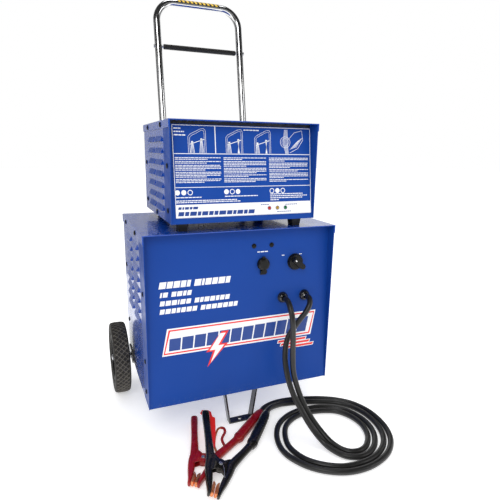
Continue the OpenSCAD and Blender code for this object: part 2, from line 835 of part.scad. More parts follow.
module black_clamp_strip() {
    color([0.80, 0.08, 0.08]) in_black() translate([0, 0, -clamp_w / 2 - 1.3])
        flat_bar([[50, 24], [57, 19], [113, 29], [146, 36], [148, 44], [162, 50], [165, 60],
                  [158, 74], [146, 76], [140, 66]], 2.6);
}

// ---------------------------------------------------------------- assembly
cabinet_base();
cabinet_front();
cabinet_rear();
cabinet_left_side();
cabinet_right_side();
cabinet_cover();
cabinet_fasteners();
battery_left();
battery_right();
battery_clamp_bar();
foot_strap();
axle();
axle_plate_left();
axle_plate_right();
left_rim();
left_tyre();
left_hub_nut();
right_rim();
right_tyre();
right_hub_nut();
lead_grommet_left();
lead_grommet_right();
socket_body();
socket_cap();
switch_body();
switch_plate();
switch_knob();
handle_upright_left();
handle_upright_right();
handle_hoop();
handle_tape();
crossbar_rod();
crossbar_sleeve();
charger_base();
charger_front();
charger_rear();
charger_left_side();
charger_right_side();
charger_cover();
charger_fasteners();
charger_feet();
label_plate();
status_lights();
transformer();
heat_sink();
mains_inlet();
black_lead();
red_lead();
red_clamp_fixed_arm();
red_clamp_moving_arm();
red_clamp_fixed_jaw();
red_clamp_moving_jaw();
red_clamp_rivet();
red_clamp_braid();
black_clamp_fixed_arm();
black_clamp_moving_arm();
black_clamp_fixed_jaw();
black_clamp_moving_jaw();
black_clamp_rivet();
black_clamp_strip();
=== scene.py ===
"""Looks of the wheeled battery charger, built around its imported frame. Lengths in the tables are mm."""
import math
import bmesh
import bpy
import numpy as np
from mathutils import Matrix, Vector


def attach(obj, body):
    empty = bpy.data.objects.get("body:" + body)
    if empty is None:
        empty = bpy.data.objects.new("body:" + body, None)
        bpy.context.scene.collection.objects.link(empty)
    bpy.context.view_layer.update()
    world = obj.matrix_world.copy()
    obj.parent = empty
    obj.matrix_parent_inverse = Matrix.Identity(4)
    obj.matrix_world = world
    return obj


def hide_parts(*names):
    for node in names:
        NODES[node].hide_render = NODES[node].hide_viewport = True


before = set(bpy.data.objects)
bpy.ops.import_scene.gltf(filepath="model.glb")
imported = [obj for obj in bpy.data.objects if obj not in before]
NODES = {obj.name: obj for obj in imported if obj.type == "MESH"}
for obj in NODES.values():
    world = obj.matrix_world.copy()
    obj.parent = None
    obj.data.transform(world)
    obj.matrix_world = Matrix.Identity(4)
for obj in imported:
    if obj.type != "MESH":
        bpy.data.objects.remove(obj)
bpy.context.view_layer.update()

MM = 0.001
FRONT_Y = -201.13  # the front edge of both boxes
SHEET = 2.0
CABINET = (math.atan(25 / 419), 97)  # a front panel's lean, and the height of its lower edge
CHARGER = (math.atan(29 / 222), 537)
RAKE = math.radians(10.6)
WHEEL_X, WHEEL_Y, WHEEL_R = 276, 295, 101.5


def place(x, y, z):
    """A point given from the middle of the front edge, in mm, as a point of the row frame."""
    return Vector((x, y + FRONT_Y, z)) * MM


# ---- camera
def make_camera():
    """The photograph's camera: its place, its view direction with a slight roll, and its shift."""
    yaw, pitch, roll = (math.radians(a) for a in (21.146, 13.573, -0.75))
    look = Vector((math.sin(yaw) * math.cos(pitch), math.cos(yaw) * math.cos(pitch), -math.sin(pitch)))
    level = Vector((math.cos(yaw), -math.sin(yaw), 0))
    down = Vector((0, 0, -1))
    down = (down - look * down.dot(look)).normalized()
    right = level * math.cos(roll) + down * math.sin(roll)
    up = level * math.sin(roll) - down * math.cos(roll)
    data = bpy.data.cameras.new("camera")
    data.sensor_width = 36
    data.lens = 31.24
    data.shift_x = 0.0254
    data.shift_y = 0.0075
    cam = bpy.data.objects.new("camera", data)
    bpy.context.scene.collection.objects.link(cam)
    turn = Matrix((right, up, -look)).transposed().to_4x4()
    cam.matrix_world = Matrix.Translation((-0.3784, -1.12083, 0.6994)) @ turn
    bpy.context.scene.camera = cam


make_camera()


# ---- material builder
class Shader:
    """A Principled material with short calls for the nodes that drive it, in object coordinates."""

    def __init__(self, name, **sockets):
        """Starts the material; sockets of the shader are named with _ in place of a space."""
        self.mat = bpy.data.materials.new(name)
        self.mat.use_nodes = True
        self.tree = self.mat.node_tree
        self.bsdf = self.tree.nodes["Principled BSDF"]
        for key, value in sockets.items():
            self.bsdf.inputs[key.replace("_", " ")].default_value = value
        self.where = self.node("ShaderNodeTexCoord").outputs["Object"]

    def node(self, kind, inputs=None, **props):
        """A new node with these inputs, each a value or a socket."""
        made = self.tree.nodes.new(kind)
        for key, value in props.items():
            setattr(made, key, value)
        for key, value in (inputs or {}).items():
            self.plug(value, made.inputs[key])
        return made

    def plug(self, value, socket):
        """Gives a socket its value, or links it."""
        if isinstance(value, bpy.types.NodeSocket):
            self.tree.links.new(value, socket)
        else:
            socket.default_value = value

    def noise(self, scale, detail=3.0, rough=0.55, stretch=None):
        """Soft noise of 0 to 1, with its own scale on each axis if it is stretched."""
        where = self.where
        if stretch:
            where = self.node("ShaderNodeMapping", {"Scale": stretch, "Vector": where}).outputs["Vector"]
        inputs = {"Scale": scale, "Detail": detail, "Roughness": rough, "Vector": where}
        return self.node("ShaderNodeTexNoise", inputs).outputs["Fac"]

    def cells(self, scale):
        """Distance to the nearest centre of a cell pattern."""
        return self.node("ShaderNodeTexVoronoi", {"Scale": scale, "Vector": self.where}).outputs["Distance"]

    def math(self, kind, a, b=0.0):
        """One step of arithmetic."""
        return self.node("ShaderNodeMath", {0: a, 1: b}, operation=kind).outputs[0]

    def remap(self, value, low, high, to_low, to_high):
        """The value taken from one range to another."""
        names = ("Value", "From Min", "From Max", "To Min", "To Max")
        made = self.node("ShaderNodeMapRange", dict(zip(names, (value, low, high, to_low, to_high))))
        return made.outputs["Result"]

    def patch(self, scale, detail, low=0.3, high=0.7, most=1, rough=0.55):
        """Cloudy patches of 0 to most, as the noise goes from low to high."""
        return self.remap(self.noise(scale, detail, rough), low, high, 0, most)

    def blend(self, share, a, b):
        """Colour a, turning to b where the share is 1."""
        inputs = {"Factor": share, "A": a, "B": b}
        return self.node("ShaderNodeMix", inputs, data_type="RGBA").outputs["Result"]

    def axis(self, name):
        """One coordinate of the point, in metres."""
        return self.node("ShaderNodeSeparateXYZ", {0: self.where}).outputs[name]

    def colour(self, value):
        """Sets the base colour."""
        self.plug(value, self.bsdf.inputs["Base Color"])

    def gloss(self, scale, detail, low, high, rough=0.55, span=(0.3, 0.7)):
        """Sets a roughness that wanders from low to high, as the noise goes through its span."""
        wander = self.remap(self.noise(scale, detail, rough), *span, low, high)
        self.plug(wander, self.bsdf.inputs["Roughness"])

    def relief(self, height, depth_mm, strength=1.0, edge_mm=0.0):
        """Fine bumps, over edges that look rounded if they have a radius."""
        inputs = {"Strength": strength, "Distance": depth_mm * MM, "Height": height}
        made = self.node("ShaderNodeBump", inputs)
        if edge_mm:
            rounded = self.node("ShaderNodeBevel", {"Radius": edge_mm * MM}, samples=4)
            self.plug(rounded.outputs[0], made.inputs["Normal"])
        self.plug(made.outputs[0], self.bsdf.inputs["Normal"])


def rgb(red, green, blue):
    """An sRGB colour of 0 to 255 as the linear colour of a shader."""
    linear = [((c / 255 + 0.055) / 1.055) ** 2.4 if c > 10 else c / 255 / 12.92 for c in (red, green, blue)]
    return (*linear, 1.0)


def shade(colour, by):
    """The colour made lighter or darker by a factor."""
    return (*(part * by for part in colour[:3]), 1.0)


def plain(name, colour, rough, edge=0.4, grain=900, depth=0.03, vary=0.12, dust=0.0, **sockets):
    """A coated or moulded surface: colour and gloss vary softly, with a fine grain and rounded edges."""
    s = Shader(name, **sockets)
    base = s.blend(s.patch(9, 2), shade(colour, 1 - vary), shade(colour, 1 + vary))
    if dust:
        base = s.blend(s.patch(60, 5, 0.52, 0.75, dust, 0.7), base, rgb(120, 116, 108))
    s.colour(base)
    s.gloss(34, 4, rough * 0.75, rough * 1.3, 0.6)
    s.relief(s.noise(grain, 3), depth, 1.0, edge)
    return s.mat


def make_paint(name, blue, coat, level, rough):
    """Powder coat: slow waviness under the gloss, small specks, paler scuffs along the bottom edge."""
    s = Shader(name, Coat_Weight=coat, Coat_Roughness=0.05, Specular_IOR_Level=level)
    base = s.blend(s.patch(5, 2), shade(blue, 0.96), shade(blue, 1.04))
    base = s.blend(s.patch(420, 2, 0.72, 0.80, 0.25, 0.6), base, shade(blue, 1.4))
    low = s.remap(s.axis("Z"), 0.10, 0.12, 0.25, 0)
    scuff = s.math("MULTIPLY", low, s.patch(170, 5, 0.54, 0.64, 1, 0.7))
    s.colour(s.blend(scuff, base, rgb(96, 104, 124)))
    s.gloss(26, 4, rough * 0.8, rough * 1.25, 0.6)
    peel = s.math("ADD", s.noise(310, 2), s.math("MULTIPLY", s.noise(7, 1), 4.0))
    s.relief(peel, 0.006, 0.3, 0.35)
    return s.mat


def make_tyre(name, low, high):
    """Moulded rubber with road dust in its pores."""
    s = Shader(name, Specular_IOR_Level=0.3)
    base = s.blend(s.patch(55, 5, 0.40, 0.72, 0.6, 0.7), low, high)
    s.colour(s.blend(s.patch(8, 2, 0.35, 0.65, 0.4), base, low))
    s.gloss(90, 3, 0.55, 0.8)
    s.relief(s.noise(900, 4, 0.65), 0.12, 0.8, 0.3)
    return s.mat


def make_vinyl(name, colour):
    """Thick dipped vinyl: glossy, with slow sags and a few bubbles that break up its highlights."""
    s = Shader(name, Coat_Weight=0.55, Coat_Roughness=0.05, Specular_IOR_Level=0.3,
               Specular_Tint=(1, 0.86, 0.66, 1))
    base = s.blend(s.patch(40, 2), shade(colour, 0.82), shade(colour, 1.12))
    s.colour(s.blend(s.patch(190, 4, 0.62, 0.8, 0.5, 0.7), base, shade(colour, 0.45)))
    s.gloss(60, 3, 0.18, 0.34)
    sag = s.math("ADD", s.noise(55, 3), s.math("MULTIPLY", s.noise(420, 2), 0.10))
    s.relief(sag, 0.35, 0.5)
    return s.mat


def make_cable():
    """Extruded rubber jacket: a soft sheen with a slight mottling."""
    s = Shader("cable_jacket", Specular_IOR_Level=0.6)
    base = s.blend(s.patch(30, 3), rgb(17, 17, 17), rgb(28, 27, 26))
    s.colour(s.blend(s.patch(210, 4, 0.60, 0.75, 0.3, 0.7), base, rgb(62, 60, 57)))
    s.gloss(80, 3, 0.30, 0.44)
    s.relief(s.noise(650, 3, 0.6), 0.10, 0.6)
    return s.mat


def make_chrome():
    """Polished chrome, slightly hazed in patches."""
    s = Shader("chrome", Metallic=1.0)
    s.colour(s.blend(s.patch(14, 3, 0.35, 0.7), rgb(214, 215, 217), rgb(232, 232, 230)))
    s.gloss(120, 5, 0.05, 0.17, 0.7, (0.35, 0.75))
    s.relief(s.noise(500, 2), 0.01, 0.3)
    return s.mat


def make_metal(name, colour, rough, grain=(1, 1, 14)):
    """Bare or plated metal with drawn or brushed grain, darker in patches."""
    s = Shader(name, Metallic=1.0)
    s.colour(s.blend(s.patch(28, 4, rough=0.65), shade(colour, 0.8), shade(colour, 1.1)))
    s.gloss(160, 4, rough * 0.7, rough * 1.4, 0.6)
    s.relief(s.noise(220, 3, 0.6, grain), 0.05, 0.5, 0.3)
    return s.mat


def make_copper():
    """Copper plate with darker stains."""
    s = Shader("copper_plate", Metallic=0.9)
    s.colour(s.blend(s.patch(75, 4, 0.42, 0.68, 1, 0.7), rgb(240, 158, 108), rgb(196, 104, 62)))
    s.gloss(120, 4, 0.34, 0.52)
    s.relief(s.noise(300, 3), 0.08, 0.6, 0.5)
    return s.mat


def make_tape():
    """Yellow and black diagonal film: the bands run on round the bar."""
    s = Shader("warning_tape")
    pitch = 12.0 * MM
    run = s.math("ADD", s.axis("X"), s.axis("Y"))
    part = s.math("FRACT", s.math("MULTIPLY", run, 1 / pitch))
    yellow = s.blend(s.patch(240, 5, 0.60, 0.72, 0.5, 0.7), rgb(214, 176, 40), rgb(150, 128, 62))
    s.colour(s.blend(s.remap(part, 0.46, 0.50, 0, 1), rgb(26, 25, 24), yellow))
    s.gloss(90, 3, 0.35, 0.55)
    s.relief(s.noise(700, 2), 0.03, 0.5, 0.3)
    return s.mat


def make_core():
    """Stacked steel laminations under dark varnish."""
    s = Shader("laminated_core", Metallic=0.4)
    sheet = 1.4 * MM
    layer = s.math("FRACT", s.math("MULTIPLY", s.axis("X"), 1 / sheet))
    s.colour(s.blend(s.remap(layer, 0.7, 0.9, 0, 1), rgb(70, 64, 58), rgb(34, 31, 29)))
    s.gloss(60, 4, 0.35, 0.6)
    s.relief(layer, 0.12, 0.6, 0.4)
    return s.mat


def make_lens(name, colour):
    """Clear coloured plastic with a fine cell pattern."""
    s = Shader(name, Coat_Weight=1.0, Coat_Roughness=0.03, Transmission_Weight=0.15)
    s.colour(s.blend(s.remap(s.cells(1400), 0.1, 0.5, 0, 1), colour, shade(colour, 0.6)))
    s.gloss(200, 2, 0.1, 0.2)
    s.relief(s.cells(1500), 0.03, 0.4)
    return s.mat


def make_ink(name, colour):
    """Screen-printed ink: a slightly uneven layer with pinholes."""
    s = Shader(name)
    s.colour(s.blend(s.patch(520, 4, 0.64, 0.78, 0.35, 0.7), colour, shade(colour, 0.72)))
    s.gloss(70, 3, 0.32, 0.48)
    s.relief(s.noise(900, 2), 0.02, 0.5)
    return s.mat


# Two copies of one blue coat: the second, on the fronts, bases and charger louvres, has a darker base colour
# as painted shade, and less gloss.
PAINT = make_paint("blue_coat", rgb(16, 66, 158), 0.5, 0.5, 0.25)
SHADED_PAINT = make_paint("blue_coat_shaded_copy", rgb(18, 62, 142), 0.0, 0.15, 0.38)
TYRE = make_tyre("tyre_rubber", rgb(38, 36, 33), rgb(66, 62, 56))
PALE_RIB_TYRE = make_tyre("tyre_rubber_pale_ribs", rgb(84, 80, 74), rgb(128, 123, 113))
CABLE = make_cable()
CHROME = make_chrome()
TAPE = make_tape()
COPPER = make_copper()
ZINC = make_metal("zinc_plate", rgb(198, 199, 202), 0.28)
ALUMINIUM = make_metal("extruded_aluminium", rgb(205, 206, 208), 0.33, (1, 14, 1))
RED_VINYL = make_vinyl("red_vinyl", rgb(140, 14, 18))
BLACK_VINYL = make_vinyl("black_vinyl", rgb(15, 15, 16))
BLACK_COAT = plain("black_coat", rgb(18, 17, 16), 0.30, 0.8, 500, 0.03, dust=0.12, Coat_Weight=0.6)
MOULDED = plain("moulded_black", rgb(13, 13, 13), 0.30, 0.6, 1400, 0.04, Specular_IOR_Level=0.35)
# matt rubber of the feet; the same material makes the near-black painted shade strip under the charger's
# cover
MATT_RUBBER_AND_SHADE = plain("matt_rubber_and_shade", rgb(30, 30, 31), 0.55, 0.8, 900, 0.08, dust=0.2)
GLOSS_RUBBER = plain("gloss_rubber", rgb(16, 16, 17), 0.16, 0.5, 300, 0.04, Coat_Weight=0.6)
GRIP = plain("grip_foam", rgb(14, 14, 14), 0.5, 0.6, 2200, 0.16)
CASE = plain("battery_case", rgb(38, 38, 40), 0.5, 1.2, 700, 0.06)
OXIDE = plain("black_oxide", rgb(24, 23, 22), 0.30, 0.4, 800, 0.03, Metallic=0.6)
FILM = plain("label_film", rgb(18, 64, 146), 0.36, 0.2, 1100, 0.01, 0.03, Specular_IOR_Level=0.15)
MARKER = plain("marker_strip", rgb(232, 40, 36), 0.35, 0.5, 600, 0.04)
# near-black painted shade for the screws' cross recesses
RECESS_SHADE = plain("screw_recess_shade", rgb(8, 8, 8), 0.7, 0.1)
CORE = make_core()
WHITE_INK = make_ink("white_ink", rgb(232, 233, 235))
RED_INK = make_ink("red_ink", rgb(226, 40, 40))
NAVY_INK = make_ink("navy_ink", rgb(22, 60, 134))


# ---- mesh helpers
def at(matrix, x, y, z):
    """A point of the row frame, from mm in the matrix's frame."""
    return matrix @ (Vector((x, y, z)) * MM)


def spin(degrees, axis):
    """A turn about an axis."""
    return Matrix.Rotation(math.radians(degrees), 4, axis)


def circle(steps):
    """Even angles round one turn."""
    return [2 * math.pi * k / steps for k in range(steps)]


def quads(rows, steps):
    """Faces between rows of points, each row a closed ring."""
    faces = []
    for i in range(rows - 1):
        for k in range(steps):
            j = (k + 1) % steps
            faces.append((i * steps + k, i * steps + j, (i + 1) * steps + j, (i + 1) * steps + k))
    return faces


def tube(rows, close_ends=True):
    """Points and faces of a skin through rings of points, with a flat face on each end."""
    steps, count = len(rows[0]), len(rows)
    faces = quads(count, steps)
    if close_ends:
        faces += [tuple(reversed(range(steps))), tuple(range((count - 1) * steps, count * steps))]
    return [p for row in rows for p in row], faces


def shell(rows):
    """A thin closed sheet; each row of points runs along its outer skin and back along its inner one."""
    steps, count = len(rows[0]), len(rows)
    points, faces = tube(rows, False)
    for first in (0, (count - 1) * steps):
        last = first + steps - 1
        faces += [(first + k, first + k + 1, last - k - 1, last - k) for k in range(steps // 2 - 1)]
    return points, faces


def add_mesh(name, shape, material, body="cart", corners=None, flat=False):
    """A mesh piece from points and faces in the row frame; edges sharper than its corners stay sharp."""
    data = bpy.data.meshes.new(name)
    points, faces = shape
    data.from_pydata([tuple(p) for p in points], [], faces)
    data.validate()
    data.update()
    bm = bmesh.new()
    bm.from_mesh(data)
    bmesh.ops.recalc_face_normals(bm, faces=bm.faces)
    bm.normal_update()
    for face in bm.faces:
        face.smooth = not flat
    for edge in bm.edges if corners else ():
        if len(edge.link_faces) == 2 and edge.calc_face_angle(0) > math.radians(corners):
            edge.smooth = False
    bm.to_mesh(data)
    bm.free()
    return add_piece(name, data, material, body)


def add_piece(name, data, material, body):
    """A piece that rides on its body, with one material or a list of them."""
    piece = bpy.data.objects.new(name, data)
    bpy.context.scene.collection.objects.link(piece)
    for mat in material if isinstance(material, (list, tuple)) else [material]:
        data.materials.append(mat)
    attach(piece, body)
    return piece


def lathe(profile, steps, matrix, close_ends=True):
    """A profile of (radius, height) in mm, turned about +Z of the matrix."""
    rows = [[at(matrix, r * math.cos(a), r * math.sin(a), h) for a in circle(steps)] for r, h in profile]
    return tube(rows, close_ends)


def joined(parts):
    """One list of points and faces out of several."""
    points, faces = [], []
    for p, f in parts:
        base = len(points)
        points += list(p)
        faces += [tuple(i + base for i in face) for face in f]
    return points, faces


def smooth_route(route, per_span=8):
    """Points on the smooth curve through the route, ends included."""
    p = np.array(route, float)
    p = np.vstack([2 * p[0] - p[1], p, 2 * p[-1] - p[-2]])
    line = []
    for a, b, c, d in zip(p, p[1:], p[2:], p[3:]):
        for k in range(per_span):
            t = k / per_span
            bend = (2 * a - 5 * b + 4 * c - d) * t * t + (3 * b - a - 3 * c + d) * t**3
            line.append(0.5 * ((2 * b) + (c - a) * t + bend))
    return line + [p[-2]]


def add_tube(name, points, radius_mm, material, resolution=8):
    """A curve piece with a round section along points in metres."""
    data = bpy.data.curves.new(name, "CURVE")
    data.dimensions = "3D"
    data.bevel_depth = radius_mm * MM
    data.bevel_resolution = resolution
    data.use_fill_caps = True
    spline = data.splines.new("POLY")
    spline.points.add(len(points) - 1)
    for spot, p in zip(spline.points, points):
        spot.co = (*p, 1.0)
    return add_piece(name, data, material, "cart")


def along(points, side=(0.3, 0.2, 1.0)):
    """Each point of a line, with two directions square to it that turn as little as they can."""
    line = [Vector(p) for p in points]
    side = Vector(side)
    for i, p in enumerate(line):
        ahead = (line[min(i + 1, len(line) - 1)] - line[max(i - 1, 0)]).normalized()
        side = (side - ahead * side.dot(ahead)).normalized()
        yield p, side, ahead.cross(side)


def swept(points, radius_mm, sides):
    """A closed tube along points in metres; its radius is one number, or one for each point."""
    radii = (np.broadcast_to(radius_mm, len(points)) * MM).tolist()
    rows = []
    for (p, side, other), r in zip(along(points), radii):
        rows.append([p + (side * math.cos(a) + other * math.sin(a)) * r for a in circle(sides)])
    return tube(rows)


def box_mesh(low, high, matrix):
    """A box between two corners in mm, in the matrix's frame."""
    corners = [(x, y, z) for x in (low[0], high[0]) for y in (low[1], high[1]) for z in (low[2], high[2])]
    faces = [(0, 1, 3, 2), (4, 6, 7, 5), (0, 4, 5, 1), (2, 3, 7, 6), (0, 2, 6, 4), (1, 5, 7, 3)]
    return [at(matrix, *corner) for corner in corners], faces


def on_panel(panel, x, z):
    """The frame of a spot on a leaning front panel: +X right, +Y up the panel, +Z outwards."""
    tilt, z0 = panel
    y = SHEET + (z - z0) * math.tan(tilt)
    return Matrix.Translation(place(x, y, z)) @ Matrix.Rotation(math.pi / 2 - tilt, 4, "X")


def rounded(node, voxel_mm, times):
    """Rounds a CAD node's corners with modifiers only, as a moulded or dipped surface has them."""
    piece = NODES[node]
    skin = piece.modifiers.new("skin", "REMESH")
    skin.mode = "VOXEL"
    skin.voxel_size = voxel_mm * MM
    skin.use_smooth_shade = True
    soft = piece.modifiers.new("soften", "SMOOTH")
    soft.factor = 0.5
    soft.iterations = times


def paint(material, *names):
    """Gives CAD nodes their material."""
    for name in names:
        slots = NODES[name].material_slots
        for s in slots:
            s.material = material
        if not slots:
            NODES[name].data.materials.append(material)


# ---- leads and clamps
BLACK_ROUTE = [
    (108, -0.8, 335.5), (108, -10, 335), (108, -20, 330), (108, -32, 316), (109, -41, 294),
    (110, -46, 251), (109, -50, 205), (110, -57, 158), (119, -70, 114), (132, -88, 73), (149, -114, 39),
    (166, -146, 15), (179, -172, 8.7), (193, -188, 7.8), (208, -194, 7.7), (225, -194, 7.6),
    (247, -184, 7.6), (273, -155, 7.6), (286, -117, 7.6), (284, -82, 7.6), (269, -51, 7.6),
    (246, -32, 7.6), (202, -19, 7.6), (156, -19, 7.6), (116, -36, 7.6), (90, -62, 7.6),
    (72, -104, 7.6), (70, -139, 7.6), (84, -177, 7.6), (114, -207, 7.6), (154, -227, 7.6),
    (200, -231, 7.6), (245, -222, 7.6), (285, -198, 7.6), (312, -163, 7.6), (325, -119, 7.6),
    (324, -73, 7.6), (308, -33, 7.6), (279, -4, 7.6), (237, 16, 7.6), (193, 30, 7.6),
    (148, 39, 8.2), (117, 35, 12.5), (82, 16, 21), (62, -4, 20.3)]
RED_ROUTE = [
    (170, -0.8, 335.5), (170, -9, 335), (169, -17, 330), (164, -24, 320), (153, -27, 304),
    (130, -26, 276), (105, -27, 240), (94, -38, 198), (93, -56, 156), (100, -76, 115), (114, -98, 78),
    (130, -122, 43), (148, -148, 17), (160, -173, 9.6), (176, -197, 7.9), (195, -209, 7.6),
    (215, -213, 7.6), (240, -207, 7.6), (270, -186, 7.6), (295, -149, 7.6), (304, -106, 7.6),
    (296, -66, 7.6), (277, -35, 7.6), (246, -14, 7.6), (203, -2, 7.6), (158, -2, 7.6),
    (115, -16, 7.6), (80, -43, 7.6), (57, -82, 7.6), (48, -123, 7.6), (54, -158, 7.6),
    (77, -197, 7.6), (111, -226, 7.6), (152, -244, 7.6), (197, -248, 7.6), (241, -240, 7.6),
    (282, -221, 7.6), (315, -190, 7.6), (335, -151, 7.6), (343, -106, 7.6), (339, -62, 7.6),
    (320, -21, 7.6), (288, 9, 7.6), (248, 30, 7.6), (206, 44, 7.6), (162, 54, 7.8),
    (117, 53, 9.3), (78, 38, 11.9), (55, 18.6, 12)]
LEAD_R = 7.0
CLAMPS = {  # pivot, turns about X, Y and Z in degrees, vinyl, lead, and the boot's turn in degrees
    "red": ((-138.4, -101.6, 11.2), (0.5, -0.5, 58.1), RED_VINYL, RED_ROUTE, -18),
    "black": ((-113.4, -145.8, 22.0), (15.7, -6.3, 61.6), BLACK_VINYL, BLACK_ROUTE, -12.9),
}
FIXED_ARM = [(-76, -10.5, 3.4), (-60, -12.8, 5.4), (-40, -17, 7.8), (-12, -23.4, 8.6), (10, -26, 10.6),
             (30, -34.5, 10), (58, -48.6, 9), (92, -64.4, 9.6)]
MOVING_ARM = [(-76, 10.5, 3.4), (-60, 12.8, 5.4), (-40, 17, 7.8), (-12, 23.4, 8.6), (12, 25, 10),
              (34, 30.4, 9.6), (64, 39.4, 8.6), (100, 50.4, 8.6), (128, 58.8, 9.2), (143, 63.4, 9)]
BRAID_ROUTE = [(56, -37, 0), (72, -27, 5), (96, -29, 8), (108, -22, 9), (103, -11, 9), (80, -9, 7),
               (48, -14, 4), (30, -24, 0)]


def make_lead(colour):
    """A starter cable from its grommet to its clamp."""
    route, node = CLAMPS[colour][3], f"{colour}_lead"
    line = [place(*p) for p in smooth_route(route)]
    lead = add_tube(node + "_cable", line, LEAD_R, CABLE)
    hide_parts(node)
    pieces = [NODES[f"{colour}_clamp_fixed_jaw"], NODES[f"{colour}_clamp_moving_jaw"], make_boot(colour)]


def clamp_frame(colour):
    """The clamp's own frame: pivot at the origin, +X between the handles, +Z along the rivet."""
    pivot, (rx, ry, rz) = CLAMPS[colour][:2]
    return Matrix.Translation(place(*pivot)) @ spin(rz, "Z") @ spin(ry, "Y") @ spin(rx, "X")


def loft(stations, matrix):
    """A rounded bar with domed ends, through stations of (x, y, half width, half thickness)."""
    rows = smooth_route(stations, 6)
    heads, tails = [], []
    for k in range(1, 6):
        a = k / 6 * math.pi / 2
        for end, near, dome in ((rows[0], rows[1], heads), (rows[-1], rows[-2], tails)):
            way = (end[:2] - near[:2]) / np.linalg.norm(end[:2] - near[:2])
            middle = end[:2] + way * math.sin(a) * min(end[2:]) * 0.9
            dome.append(np.concatenate([middle, end[2:] * (math.cos(a) * 0.94 + 0.06)]))
    rows = heads[::-1] + rows + tails
    power, rings = 2 / 2.6, []
    for i, (x, y, width, thick) in enumerate(rows):
        run = rows[min(i + 1, len(rows) - 1)][:2] - rows[max(i - 1, 0)][:2]
        run = run / (np.linalg.norm(run) or 1.0)
        ring = []
        for a in circle(28):
            side = math.copysign(abs(math.cos(a)) ** power, math.cos(a)) * width
            rise = math.copysign(abs(math.sin(a)) ** power, math.sin(a)) * thick
            ring.append(at(matrix, x - run[1] * side, y + run[0] * side, rise))
        rings.append(ring)
    return tube(rings)


def plate(outline, z0, z1, edge, matrix):
    """A flat plate with rounded edges, from an outline that runs anticlockwise in the clamp's frame."""
    rings = []
    for z, inwards in ((z0, 1), (z1, -1)):
        cuts = [(z, edge), (z + 0.3 * edge * inwards, 0.3 * edge), (z + edge * inwards, 0)]
        for level, cut in cuts[::inwards]:
            ring = []
            for i, (x, y) in enumerate(outline):
                (ax, ay), (bx, by) = outline[i - 1], outline[(i + 1) % len(outline)]
                run = math.hypot(bx - ax, by - ay) or 1.0
                ring.append(at(matrix, x - (by - ay) / run * cut, y + (bx - ax) / run * cut, level))
            rings.append(ring)
    return tube(rings)


def ear_outline(r, web, reach):
    """Round ear about the rivet that widens into its arm on the +Y side."""
    turn = np.radians(np.linspace(160, 380, 36))
    return [(r * math.cos(a), r * math.sin(a)) for a in turn] + [(web, reach), (-web, reach)]


def arm(line, matrix):
    """A clamp's handle along (x, y, half width), a little thinner at the jaw's nose."""
    return loft([(*row, 7.4 if i else 7) for i, row in enumerate(line)], matrix)


def make_boot(colour):
    """Vinyl sleeve from the fixed handle to the lead: a rolled mouth, then a flat tube that necks down."""
    vinyl, turn = CLAMPS[colour][2], math.radians(CLAMPS[colour][4])
    x, y = 93, -64.6  # the end of the fixed handle
    rows = [(-8, 10.4, 9.4), (-4, 12.2, 10), (0, 13.2, 10.4), (5, 13.4, 10.6), (8, 12.6, 10.2),
            (40, 12.8, 10.4), (90, 12.2, 10.4), (110, 11.4, 10), (120, 9.2, 8.8)]
    stations = [(x + u * math.cos(turn), y + u * math.sin(turn), w, t) for u, w, t in rows]
    return add_mesh(f"{colour}_clamp_boot", loft(stations, clamp_frame(colour)), vinyl)


def make_clamp(colour):
    """Dipped vinyl arms with copper jaws, a domed rivet and a coil spring between the ears."""
    vinyl, slot = CLAMPS[colour][2], f"{colour}_vinyl"
    here = clamp_frame(colour)
    ear = ear_outline(13.5, 23, 20)
    fixed = joined([arm(FIXED_ARM, here), plate(ear, -4.8, 4.8, 1.0, here @ spin(180, "X"))])
    ears = [plate(ear, low, high, 0.8, here) for low, high in ((-7.5, -5.1), (5.1, 7.5))]
    moving = joined([arm(MOVING_ARM, here)] + ears)
    handle = add_mesh(f"{colour}_clamp_fixed_handle", fixed, vinyl, corners=45)
    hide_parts(f"{colour}_clamp_fixed_arm")
    lever = add_mesh(f"{colour}_clamp_moving_handle", moving, vinyl, f"{colour}_clamp_lever", 45)
    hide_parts(f"{colour}_clamp_moving_arm")
    paint(COPPER, f"{colour}_clamp_fixed_jaw", f"{colour}_clamp_moving_jaw")
    dome = [(0.1, -9), (4.2, -8.9), (4.6, -8.2), (4.6, -7.5), (2.95, -7.4), (2.95, 7.4), (4.6, 7.5),
            (4.6, 8.2), (4.2, 8.9), (2.6, 9.4), (0.1, 9.5)]
    rivet = add_mesh(f"{colour}_clamp_pin", lathe(dome, 32, here), ZINC, corners=50)
    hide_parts(f"{colour}_clamp_rivet")
    coil_r, coil_rise, turns, per_turn = 6.2, 7.2, 6, 16
    coil = []
    for i in range(turns * per_turn + 1):
        a = 2 * math.pi * i / per_turn
        up = coil_rise * (i / (turns * per_turn) - 0.5)
        coil.append(at(here, coil_r * math.cos(a), coil_r * math.sin(a), up))
    leg = [at(here, *p) for p in ((-4, -6, 8.8), (-12, -9, 9.2), (-26, -12.5, 9.2), (-34, -14.6, 8.6))]
    add_tube(f"{colour}_clamp_spring", coil, 0.8, ZINC, 3)
    add_tube(f"{colour}_clamp_spring_leg", leg, 0.8, ZINC, 3)


